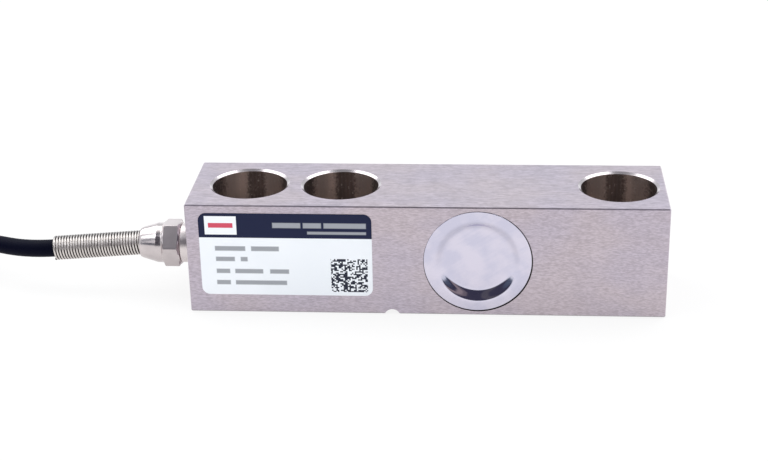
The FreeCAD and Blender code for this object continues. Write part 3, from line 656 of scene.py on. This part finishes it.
def cover_points(side):
    """Dished disc: the rounded profile of depth and radius carried round Y, closed at its poles."""
    profile = rounded(COVER_PROFILE, COVER_EASE) * MM
    centre = (COVER_X + COVER_LEAN[0], side * FACE_Y, COVER_Z + COVER_LEAN[1])
    return turned(profile, np.array(centre) * MM, (0, -side, 0), (1, 0, 0), COVER_STEPS)


def cover_finish():
    """Bright pressed sheet: almost smooth, slowly uneven, with faint straight rolling lines."""
    material, wire = new_material("bright_sheet")
    place = wire.place()
    slow = wire.noise(place, (130, 130, 130), 3)
    slanted = wire.node("ShaderNodeMapping", {}, {"Vector": place, "Rotation": (0, 0.6, 0)})
    rolled = wire.noise(slanted, (90, 60, 1500), 3)
    tone = slow * 0.85 + rolled * 0.15
    shade(
        wire,
        Base_Color=tone.ramp(0.39, 0.61).mix(*SHEET_COLOURS),
        Metallic=1.0,
        Roughness=slow.ramp(0.3, 0.7, 0.065, 0.1),
        Normal=wire.bump(slow * 0.7 + rolled * 0.3, 0.15, 0.00005),
    )
    return material


cover_material = cover_finish()
for side_name, side in (("front", -1), ("rear", 1)):
    dish = grid_piece(f"dished_{side_name}", cover_points(side), (True, False), cover_material,
                      "cover_steel", f"{side_name}_cover")
    print(dish.name, "quads", len(dish.data.polygons))

# %% [markdown]
# The gland is plated brass: a collar against the bar, then a hexagon nut whose nose tapers to the
# spring. The nut could be a cut hexagon joined to a cone. Here its radius depends on the angle, so
# the hexagon, its turned-off corners and the round nose are one grid with no seam.

# %% Gland shapes
GLAND_Z = 13.6
END_X = -65.0
COLLAR = 4.45
GASKET = 0.5
HEX = 4.95
NOSE = 6.7
GLAND_CENTRE = np.array([END_X, 0.0, GLAND_Z]) * MM
COLLAR_PROFILE = [
    (-3.2, 2.7), (-3.2, 4.95), (GASKET, 4.95), (GASKET, 5.55), (COLLAR, 5.55), (COLLAR, 4.3),
    (8.95, 4.3), (8.95, 3.5), (4.05, 3.5), (4.05, 2.7),
]
COLLAR_EASE = [0, 0.3, 0, 0.15, 0.35, 0, 0.2, 0, 0, 0]
COLLAR_STEPS = 160
HEX_FLATS = 12.0
HEX_TURN = math.radians(7.0)
HEX_SHARPNESS = 90
CORNER = HEX_FLATS / math.sqrt(3)
NUT_OUTLINE = [
    (0.0, 4.35), (0.0, 5.83), (0.55, CORNER), (HEX - 0.6, CORNER), (HEX, 5.83),
    (HEX + 0.25, 5.65), (HEX + 1.8, 5.65), (HEX + 6.2, 4.35), (HEX + NOSE, 4.1),
    (HEX + NOSE, 3.75), (HEX + 4.9, 3.75), (HEX + 4.9, 2.9), (4.6, 2.9), (4.6, 4.35),
]
NUT_EASE = [0.1, 0.12, 0.25, 0.25, 0.13, 0.15, 0.3, 0.4, 0.2, 0.12, 0, 0.1, 0, 0]
NUT_STEPS = 360


def hexagon(angle):
    """Distance from the axis to a hexagon with eased corners.

    A flat's plane lies at half the flats over the cosine of the angle to its middle; the nearest
    plane wins, and a high power of the cosines rounds the corners where two planes meet.
    """
    middles = HEX_TURN + math.pi / 6 + np.arange(6) * math.pi / 3
    facing = np.clip(np.cos(angle[:, None] - middles), 0, None)
    return HEX_FLATS / 2 / np.sum(facing ** HEX_SHARPNESS, 1) ** (1 / HEX_SHARPNESS)


def nut_points():
    """Hexagon nut with its nose: the radius is the outline's own, cut down to the hexagon."""
    angle = np.linspace(0, 2 * np.pi, NUT_STEPS, endpoint=False)
    along, limit = rounded(NUT_OUTLINE, NUT_EASE).T
    radius = np.minimum(limit[None], hexagon(angle)[:, None])
    place = np.stack([
        np.broadcast_to(END_X - COLLAR - along, radius.shape),
        -radius * np.cos(angle)[:, None],
        GLAND_Z + radius * np.sin(angle)[:, None],
    ], -1)
    return place * MM


def collar_points():
    """Collar with its screwed spigot and neck: the eased profile carried round the gland's axis."""
    profile = rounded(COLLAR_PROFILE, COLLAR_EASE) * MM
    return turned(profile, GLAND_CENTRE, (-1, 0, 0), (0, -1, 0), COLLAR_STEPS)


print("nut", round(COLLAR + HEX + NOSE, 2), "mm from the bar to the mouth of its nose")

# %% [markdown]
# Nickel plate is warm and bright. The turned faces are smooth, with fine rings from the lathe, the
# flats of the hexagon are milled and duller, and the collar is paler than the rest.

# %% Gland
NICKEL = ((0.575, 0.52, 0.525), (0.665, 0.605, 0.605))
PALE_NICKEL = (0.84, 0.77, 0.76)
MILLED_ROUGH = 0.355


def plated_finish():
    """Nickel plate on brass: smooth where it was turned, dull on the hexagon's milled flats.

    Milled is what lies further from the axis than the nose does, beyond the collar.
    """
    material, wire = new_material("nickel_plate")
    place = wire.place()
    rings = wire.noise(place, (2600, 90, 90), 2)
    cloud = wire.noise(place, (170, 170, 170), 3)
    x, y, z = place.millimetres()
    reach = y.length(z - GLAND_Z)
    milled = reach.ramp(5.7, 5.85) * (END_X - COLLAR - x).ramp(0.2, 0.5)
    collar_part = (x - END_X + COLLAR).ramp(-0.05, 0.05)
    smooth_part = cloud.ramp(0.3, 0.7, 0.17, 0.25) + collar_part * 0.12
    nickel = cloud.ramp(0.3, 0.7).mix(*NICKEL)
    shade(
        wire,
        Base_Color=(collar_part * 0.6).mix(nickel, PALE_NICKEL),
        Metallic=1.0,
        Roughness=smooth_part + milled * (MILLED_ROUGH - smooth_part),
        Normal=wire.bump(rings, 0.1, 0.00003),
    )
    return material


plate = plated_finish()
collar = grid_piece("gland_collar", collar_points(), (True, True), plate, "gland_nickel",
                    "gland_body")
nut = grid_piece("gland_hexagon", nut_points(), (True, True), plate, "gland_nickel", "gland_nut")
print("collar points", len(collar.data.vertices), "nut points", len(nut.data.vertices))

# %% [markdown]
# The spring that keeps the cable from kinking is close-wound wire. Rings or a bump would pass from
# afar, but the lines of a real spring lean, so it is a real helix: a small circle carried along a
# right-hand screw line, one wire's thickness further for every turn.

# %% Spring shape
SPRING_OUT = 7.05
SPRING_WIRE = 0.815
SPRING_TURNS = 33
SPRING_DROOP = math.radians(4.7)
SPRING_FROM = np.array([-80.2, 0.0, GLAND_Z])
SPRING_SEAT = 0.6
SPRING_CUT = 0.7
SPRING_MEAN = (SPRING_OUT - SPRING_WIRE) / 2
# The wire is drawn a little thinner than its pitch, so that neighbouring turns don't touch.
WIRE_SHARE = 0.92
WIRE_RADIUS = SPRING_WIRE / 2 * WIRE_SHARE
STEPS_A_TURN = 48
WIRE_STEPS = 12


def spring_points():
    """Screw line: axis times the pitch times the turns, plus the mean radius round it.

    The wire's circle stands on the direction outwards and the axis.
    """
    axis = np.array([-math.cos(SPRING_DROOP), 0, -math.sin(SPRING_DROOP)])
    side = np.array([0.0, -1.0, 0.0])
    up = np.cross(axis, side)
    turns = np.linspace(0, SPRING_TURNS - SPRING_CUT, (SPRING_TURNS - 1) * STEPS_A_TURN)
    angle = 2 * np.pi * turns
    outward = -np.cos(angle)[:, None] * side - np.sin(angle)[:, None] * up
    start = SPRING_FROM - axis * SPRING_SEAT
    line = start + (turns[:, None] + 0.5) * SPRING_WIRE * axis + SPRING_MEAN * outward
    bend = np.linspace(0, 2 * np.pi, WIRE_STEPS, endpoint=False)
    section = np.cos(bend)[None, :, None] * outward[:, None]
    section = section + np.sin(bend)[None, :, None] * axis
    return (line[:, None] + WIRE_RADIUS * section) * MM


print("spring length", round(SPRING_TURNS * SPRING_WIRE, 2), "mm")

# %% [markdown]
# The spring's grooves carry painted shade, except along a band on the upper side, so there the
# wire is bright far down, and elsewhere only on its back. The very top carries painted shade as
# well.

# %% Spring
WIRE_STEEL = ((0.66, 0.615, 0.59), (0.78, 0.73, 0.70))
# Painted shade: the spring's top is painted darker.
TOP_SHADE_STEEL = (0.42, 0.395, 0.385)
# Painted shade for the grooves between the turns.
GROOVE_SHADE = (0.08, 0.07, 0.068)


def spring_finish():
    """Spring wire: bright on its back, with painted shade down in the grooves and along the top.

    How far out a point lies is its distance from the spring's axis, less the mean radius, in wire
    radii. How high it lies is its rise over the axis, as a share of that distance.
    """
    material, wire = new_material("spring_wire")
    place = wire.place()
    x, y, z = place.millimetres()
    rise = (z - GLAND_Z) * math.cos(SPRING_DROOP) - (x - SPRING_FROM[0]) * math.sin(SPRING_DROOP)
    reach = y.length(rise)
    outness = (reach - SPRING_MEAN) / WIRE_RADIUS
    height = rise / reach
    # The grooves take painted shade everywhere but a band on the upper side.
    unshaded_band = height.ramp(0.1, 0.3) * height.ramp(0.96, 0.84)
    back = outness.ramp(0.15, 0.5) * unshaded_band + outness.ramp(0.6, 0.92) * (1.0 - unshaded_band)
    cloud = wire.noise(place, (300, 300, 300), 3)
    steel = cloud.ramp(0.3, 0.7).mix(*WIRE_STEEL)
    # The very top is painted darker, as painted shade.
    steel = height.ramp(0.8, 0.96).mix(steel, TOP_SHADE_STEEL)
    shade(
        wire,
        Base_Color=back.mix(GROOVE_SHADE, steel),
        Metallic=1.0,
        Roughness=cloud.ramp(0.3, 0.7, 0.26, 0.36),
    )
    return material


spring = tube_piece("spring_coils", spring_points(), spring_finish(), "spring_steel",
                    "strain_relief_spring")
print("spring triangles about", 2 * len(spring.data.polygons))

# %% [markdown]
# The label is a film with plain shapes on it: a dark header with a pale patch, rows of short bars,
# and a square of small blocks. A picture could carry them, but boxes stay sharp at any distance.
# Each is a box in the bar's own millimetres, and the shader joins them by taking the largest.

# %% Label
HEADER_EDGE = 22.4
PATCH = (-59.7, -51.0, 23.3, 28.7)
PATCH_BAR = (-58.7, -52.0, 25.3, 26.7)
# Rows of bars: bottom and top edge, then where each bar starts and ends.
HEADER_ROWS = [
    (25.4, 26.9, [(-41.2, -33.6), (-32.9, -28.0), (-27.3, -15.9)]),
    (23.6, 24.4, [(-31.8, -15.9)]),
]
BODY_ROWS = [
    (18.5, 19.9, [(-57.2, -48.9), (-47.3, -39.7)]),
    (15.4, 16.7, [(-57.1, -51.9), (-50.3, -48.4)]),
    (11.8, 13.1, [(-57.1, -53.4), (-52.0, -44.3), (-42.4, -37.2)]),
    (8.4, 9.7, [(-57.2, -53.4), (-52.0, -37.9)]),
]
BLOCKS = (-25.7, -15.7, 6.5, 16.4)
BLOCK_SIZE = 0.4
# Far more than the blocks in a row, so that no two blocks share a number.
BLOCK_ROW = 131.0
FILM = ((0.81, 0.845, 0.885), (0.85, 0.88, 0.92))
HEADER_BLUE = (0.014, 0.018, 0.05)
PATCH_RED = (0.6, 0.08, 0.13)
BODY_INK = (0.025, 0.028, 0.045)


def field(x, z, box, soft=0.08):
    """1 inside a box of the label and 0 outside, with an edge as soft as print."""
    left, right_edge, low, high = box
    across = (x - left).low(right_edge - x)
    upward = (z - low).low(high - z)
    return across.low(upward).ramp(-soft / 2, soft / 2)


def row_bars(x, z, rows):
    """Every bar of several rows, as one field: the largest of them."""
    boxes = [(left, right_edge, low, high) for low, high, bars in rows
             for left, right_edge in bars]
    whole = field(x, z, boxes[0], 0.3)
    for box in boxes[1:]:
        whole = whole.high(field(x, z, box, 0.3))
    return whole


def block_field(wire, x, z):
    """Square of blocks: each cell's number, column plus row, draws whether it is dark."""
    column = wire.math("FLOOR", x / BLOCK_SIZE)
    line = wire.math("FLOOR", z / BLOCK_SIZE)
    chance = wire.node("ShaderNodeTexWhiteNoise", {"noise_dimensions": "1D"},
                       {"W": column + line * BLOCK_ROW}, "Value")
    return field(x, z, BLOCKS) * chance.ramp(0.42, 0.44)


def label_finish():
    """Film: header colours above the header's edge and body colours below it, bars over both."""
    material, wire = new_material("printed_film")
    place = wire.place()
    x, y, z = place.millimetres()
    header = (z - HEADER_EDGE).ramp(-0.05, 0.05)
    pale = field(x, z, PATCH).high(row_bars(x, z, HEADER_ROWS) * 0.38)
    dark = block_field(wire, x, z).high(row_bars(x, z, BODY_ROWS) * 0.62)
    film = wire.noise(place, (40, 40, 40), 2).ramp(0.3, 0.7).mix(*FILM)
    patch = field(x, z, PATCH_BAR).mix(film, PATCH_RED)
    body = dark.mix(film, BODY_INK)
    colour = header.mix(body, pale.mix(HEADER_BLUE, patch))
    shade(wire, Base_Color=colour, Roughness=0.34, Specular_IOR_Level=0.1)
    return material


label_material = label_finish()
dress(label_material, "rating_label")
print("label finish nodes", len(label_material.node_tree.nodes))

# %% [markdown]
# Inside the bar and the gland, gasket, bush, gauges, board and cores stay as their solids, because
# other pieces hide them. Each still gets its own finish, so that the part is whole when opened.

# %% Inner pieces
CORE_COLOURS = {
    "red": (0.50, 0.02, 0.018),
    "black": (0.012, 0.012, 0.012),
    "green": (0.02, 0.25, 0.06),
    "white": (0.74, 0.73, 0.70),
}
TIN = ((0.56, 0.55, 0.54), (0.70, 0.69, 0.68))


def tinned_finish():
    """Tinned wire: pale grey metal, duller in places."""
    material, wire = new_material("tinned_wire")
    cloud = wire.noise(wire.place(), (300, 300, 300), 3)
    shade(
        wire,
        Base_Color=cloud.ramp(0.3, 0.7).mix(*TIN),
        Metallic=1.0,
        Roughness=cloud.ramp(0.3, 0.7, 0.24, 0.34),
    )
    return material


dress(rubber, "gland_gasket", "gland_seal")
cores = {name: plastic(f"core_{name}", colour, 0.32) for name, colour in CORE_COLOURS.items()}
for colour_name, core in cores.items():
    dress(core, f"wire_{colour_name}")
dress(plastic("board_green", (0.02, 0.17, 0.07), 0.4), "terminal_board")
dress(plastic("chip_black", (0.03, 0.03, 0.032), 0.5), "trim_resistors")
dress(plastic("gauge_amber", (0.5, 0.26, 0.06), 0.3), "front_gauge", "rear_gauge")
tinned = tinned_finish()
dress(tinned, "gauge_jumpers_rear", "gauge_jumpers_front")
print("cores", list(cores))

# %% [markdown]
# Two nylon ties hold the hank together. A tie is a thin strap that hugs the stacked runs, so it is
# a small rounded section carried round a rounded oblong. A block where the strap locks, and the
# cut stub of the strap in it, are squared balls, the shortest formula for a rounded block.

# %% Ties
TIE_X = -233.5
TIE_MIDDLE = 17.5
TIE_HALF = (5.5, 13.0)
TIE_EASE = 3.0
TIE_FOOT = 13.5
TIE_STRAP = (4.0, 1.0)
STRAP_EASE = 0.3
TIE_BLOCK = 4.5
BLOCK_GAP = 0.4
BLOCK_EASE = 0.28
STUB = (3.6, 1.0, 3.0)
STUB_RISE = 1.0
STUB_EASE = 0.2
BALL_STEPS = (48, 25)


def oblong(half_wide, half_high, ease, steps=8):
    """Rounded oblong about the origin, as points of (across, up)."""
    corners = [(half_wide, -half_high), (half_wide, half_high),
               (-half_wide, half_high), (-half_wide, -half_high)]
    return rounded(corners, [ease] * 4, steps)


def strap_points(side):
    """Strap: at each point of the oblong, the section stands on X and the direction outwards."""
    loop = oblong(*TIE_HALF, TIE_EASE)
    ahead = np.roll(loop, -1, 0) - np.roll(loop, 1, 0)
    outward = np.stack([ahead[:, 1], -ahead[:, 0]], 1) / np.linalg.norm(ahead, axis=1)[:, None]
    section = oblong(TIE_STRAP[0] / 2, TIE_STRAP[1] / 2, STRAP_EASE, 5)
    flat = loop[:, None] + outward[:, None] * section[None, :, 1:]
    return np.stack([
        np.broadcast_to(TIE_X + section[None, :, 0], flat.shape[:2]),
        side * TIE_MIDDLE + flat[..., 0],
        TIE_FOOT + flat[..., 1],
    ], -1) * MM


def block_points(centre, size, ease):
    """Rounded block: a ball whose sines and cosines are raised to a small power."""
    def squared(wave):
        """The wave's size to the small power, with its sign kept."""
        return np.sign(wave) * np.abs(wave) ** ease

    turn = np.linspace(-np.pi, np.pi, BALL_STEPS[0], endpoint=False)[:, None]
    rise = np.linspace(-np.pi / 2, np.pi / 2, BALL_STEPS[1])[None]
    flat = squared(np.cos(rise))
    shape = np.stack([
        squared(np.cos(turn)) * flat,
        squared(np.sin(turn)) * flat,
        np.broadcast_to(squared(np.sin(rise)), BALL_STEPS),
    ], -1)
    return (np.array(centre) + shape * np.array(size) / 2) * MM


ties = []
for side_name, side in (("front", -1), ("rear", 1)):
    inner = side * (TIE_MIDDLE - TIE_HALF[0] - TIE_BLOCK / 2 - BLOCK_GAP)
    block = block_points((TIE_X, inner, TIE_FOOT), (TIE_BLOCK,) * 3, BLOCK_EASE)
    stub = block_points((TIE_X, inner, TIE_FOOT + TIE_BLOCK / 2 + STUB_RISE), STUB, STUB_EASE)
    ties += [
        grid_piece(f"tie_strap_{side_name}", strap_points(side), (True, True), nylon,
                   "tie_nylon", f"hank_tie_{side_name}"),
        grid_piece(f"tie_block_{side_name}", block, (True, False), nylon, "tie_nylon"),
        grid_piece(f"tie_stub_{side_name}", stub, (True, False), nylon, "tie_nylon"),
    ]
print("tie pieces", len(ties))

# %% [markdown]
# The far end is stripped for wiring. A shrunk sleeve closes the sheath, and four cores and the
# twisted shield come out of it, spread a little under their own weight, each core with a tinned
# tip. All are tubes along a line, and the sleeve's radius also changes along it.

# %% Stripped end
SLEEVE_LENGTH = 12.0
SLEEVE_RADIUS = 2.7
SLEEVE_POINTS = 60
SLEEVE_STEPS = 40
SLEEVE_END = 0.04
WRINKLE = 0.05
WRINKLE_WAVES = 34
TAIL_START = -270.4
TAIL_REACH = 30.0
TAIL_POINTS = 40
TAIL_LANE = 0.75
TAIL_FALL = 1.5
CORE_RADIUS = 0.47
SHIELD_RADIUS = 0.42
TIP = 5.0
TIP_RADIUS = 0.3
TIP_OVERLAP = 0.3
# Each core's lane in the sleeve: towards the front, and up.
TAILS = {"red": (1, 1), "black": (-1, 1), "green": (-1, -1), "white": (1, -1), "shield": (0, 0)}


def tube(line, radius, steps=16):
    """Circle carried along a line: it stands on two directions square to the line's own."""
    ahead = np.gradient(line, axis=0)
    ahead /= np.linalg.norm(ahead, axis=1)[:, None]
    beside = np.cross(ahead, (0.0, 0.0, 1.0))
    beside /= np.linalg.norm(beside, axis=1)[:, None]
    above = np.cross(beside, ahead)
    angle = np.linspace(0, 2 * np.pi, steps, endpoint=False)[None, :, None]
    circle = np.cos(angle) * beside[:, None] + np.sin(angle) * above[:, None]
    return (line[:, None] + np.broadcast_to(radius, len(line))[:, None, None] * circle) * MM


def sleeve_points():
    """Sleeve: shallow sine wrinkles on a radius that draws in, as a root, at both ends."""
    share = np.linspace(0, 1, SLEEVE_POINTS)
    line = np.stack([
        SLEEVE_START + SLEEVE_LENGTH * share,
        np.full(SLEEVE_POINTS, -OUTER_TURN),
        np.full(SLEEVE_POINTS, SLEEVE_HEIGHT),
    ], 1)
    ends = np.clip(np.minimum(share, 1 - share) / SLEEVE_END, 0, 1)
    wrinkle = WRINKLE * np.sin(share * WRINKLE_WAVES) * np.sin(np.pi * share)
    radius = SLEEVE_RADIUS * (0.93 + 0.07 * np.sqrt(ends)) - WRINKLE + wrinkle
    return tube(line, radius, SLEEVE_STEPS)


def tail_line(across, up, start, end):
    """Core's line along X: it spreads with a power of the way gone, and sinks with its square."""
    gone = np.linspace(start, end, TAIL_POINTS) / TAIL_REACH
    spread = across * TAIL_LANE * (1 + (2 - up) * gone ** 1.5)
    return np.stack([
        TAIL_START + TAIL_REACH * gone,
        -OUTER_TURN - spread,
        SLEEVE_HEIGHT + up * TAIL_LANE - TAIL_FALL * gone ** 2,
    ], 1)


far_end = [tube_piece("shrunk_sleeve", sleeve_points(), shrink, "sleeve_shrink",
                      "cable_end_sleeve")]
for tail, (across, up) in TAILS.items():
    bare = tail == "shield"
    covered = TAIL_REACH if bare else TAIL_REACH - TIP
    line = tail_line(across, up, 0.0, covered)
    far_end.append(tube_piece(
        f"tail_of_{tail}", tube(line, SHIELD_RADIUS if bare else CORE_RADIUS),
        tinned if bare else cores[tail], "shield_braid" if bare else f"core_{tail}",
        f"tail_{tail}",
    ))
    if not bare:
        tip_line = tail_line(across, up, covered - TIP_OVERLAP, TAIL_REACH)
        far_end.append(tube_piece(f"tip_of_{tail}", tube(tip_line, TIP_RADIUS), tinned,
                                  "lead_copper"))
print("far end pieces", len(far_end))

# %% [markdown]

# %% [markdown]
# The studio is a white table in soft light. Metal shows what stands round it, so the world gives
# reflections a room of their own: dark in front, as behind a camera, with a brown door, a grey
# stripe and bluish ends in it, a grey ceiling patch, and a low bright glow at the back. Plain light
# falls on everything else, and the camera sees white.

# %% World
PLAIN_LIGHT = (0.82, 0.82, 0.83)
WHITE = (1.0, 1.0, 1.0)
BACKDROP = (0.87, 0.905, 0.93)
BACK_GLOW = (1.4, 1.44, 1.48)
CEILING = (0.3, 0.3, 0.32)
DARK_ROOM = (0.05, 0.048, 0.08)
STRIPE = (0.1, 0.095, 0.115)
DOOR = (0.34, 0.28, 0.28)
ROOM_ENDS = (0.09, 0.115, 0.165)
FRONT_TURN = -0.03
CEILING_X = 0.065
CEILING_HALF = 0.25


def room_colour(x, y, z, flat):
    """What metal sees, by direction: z is the height, across and ahead the bearing on the flat."""
    across = x / flat
    ahead = (x * FRONT_TURN - y) / flat
    front = ahead.ramp(0.58, 0.615) * z.ramp(0.0, 0.08) * z.ramp(0.985, 0.93)
    overhead = (CEILING_HALF - abs(x + CEILING_X)).ramp(-0.05, 0.05)
    overhead = overhead * y.ramp(0.12, 0.04) * z.ramp(0.9, 0.95)
    door = across.ramp(0.30, 0.37) * 0.45 + across.ramp(0.42, 0.49) * 0.55
    door = door * across.ramp(0.63, 0.56)
    stripe = across.ramp(-0.13, -0.17) * across.ramp(-0.42, -0.34)
    ends = abs(across).ramp(0.66, 0.77)
    backdrop = (z.ramp(0.29, 0.12) * y.ramp(0.2, 0.5)).mix(BACKDROP, BACK_GLOW)
    dark = ends.mix(door.mix(stripe.mix(DARK_ROOM, STRIPE), DOOR), ROOM_ENDS)
    return front.mix(overhead.mix(backdrop, CEILING), dark)


def studio_world():
    """White to the camera, a plain grey light for shading, and the room for reflections."""
    world = bpy.data.worlds.new("studio")
    scene.world = world
    world.use_nodes = True
    world.node_tree.nodes.clear()
    wire = Wire(world.node_tree)
    x, y, z = wire.node("ShaderNodeTexCoord", output="Generated").axes()
    room = room_colour(x, y, z, x.length(y).high(0.001))
    seen = wire.rays("Is Camera Ray", "Is Transmission Ray")
    plain = wire.rays("Is Glossy Ray").mix(PLAIN_LIGHT, room)
    colour = seen.mix(plain, WHITE)
    light = wire.node("ShaderNodeBackground", {}, {"Color": colour, "Strength": 1.0})
    wire.node("ShaderNodeOutputWorld", {}, {"Surface": light})
    return world


studio = studio_world()
print("world nodes", len(studio.node_tree.nodes))

# %% [markdown]
# The table is a matt white sheet. Lit alone it would come out grey, so part of it glows, more for
# the camera than in reflections: what stays matt keeps the soft shadow under the part, and the
# bar's side still mirrors that shadow at its foot.

# %% Table
FLOOR_HALF = 3.0
FLOOR_DROP = 0.0002
FLOOR_WHITE = (0.86, 0.86, 0.86)
GLOW_SEEN = 0.84
GLOW_MIRRORED = 0.66
MIRRORED_TINT = (0.925, 0.925, 0.925)


def floor_piece():
    """Square table just under the part; its glow is mixed in by the kind of ray."""
    corners = np.array([[[-1, -1, 0], [-1, 1, 0]], [[1, -1, 0], [1, 1, 0]]], float) * FLOOR_HALF
    mesh = grid_mesh("table", corners - np.array([0, 0, FLOOR_DROP]), (False, False))
    material, wire = new_material("white_table")
    mirrored = wire.rays("Is Glossy Ray", "Is Transmission Ray")
    share = (wire.rays("Is Camera Ray") * GLOW_SEEN).high(mirrored * GLOW_MIRRORED)
    tint = mirrored.mix(WHITE, MIRRORED_TINT)
    glow = wire.node("ShaderNodeEmission", {}, {"Color": tint, "Strength": 1.0})
    matt = wire.node("ShaderNodeBsdfDiffuse", {}, {"Color": (*FLOOR_WHITE, 1)})
    both = wire.node("ShaderNodeMixShader", {}, {0: share, 1: matt, 2: glow})
    wire.node("ShaderNodeOutputMaterial", {}, {"Surface": both})
    mesh.materials.append(material)
    table = bpy.data.objects.new("table", mesh)
    scene.collection.objects.link(table)


floor_piece()
print("table", 2 * FLOOR_HALF, "m wide")

# %% [markdown]
# Two cool lamps in front and two larger white ones behind give the soft light. A small card close
# to the gland puts the bright line on its turned nose.

# %% Lamps
COOL_WHITE = (0.94, 0.97, 1.0)
LAMP_AIM = Vector((0, 0, 0.015))
# Each lamp's place in metres, its size, its power and its colour.
LAMPS = {
    "lamp_left": ((-0.694, -0.434, 0.877), 0.5, 1.7, COOL_WHITE),
    "lamp_right": ((0.64, -0.536, 0.863), 0.5, 1.7, COOL_WHITE),
    "lamp_back_left": ((-0.6, 0.36, 0.85), 0.75, 4.3, WHITE),
    "lamp_back_right": ((0.52, 0.34, 0.95), 0.75, 4.3, WHITE),
    "card_left": ((-0.162, -0.11, 0.072), 0.055, 0.009, WHITE),
}


def softbox(name, place, size, power, colour):
    """Square lamp that faces the part."""
    lamp = bpy.data.lights.new(name, "AREA")
    lamp.size = size
    lamp.energy = power
    lamp.color = colour
    holder = bpy.data.objects.new(name, lamp)
    scene.collection.objects.link(holder)
    holder.location = place
    holder.rotation_euler = (LAMP_AIM - Vector(place)).to_track_quat("-Z", "Y").to_euler()


for lamp_name, settings in LAMPS.items():
    softbox(lamp_name, *settings)
print("lamps", list(LAMPS))

# %% [markdown]
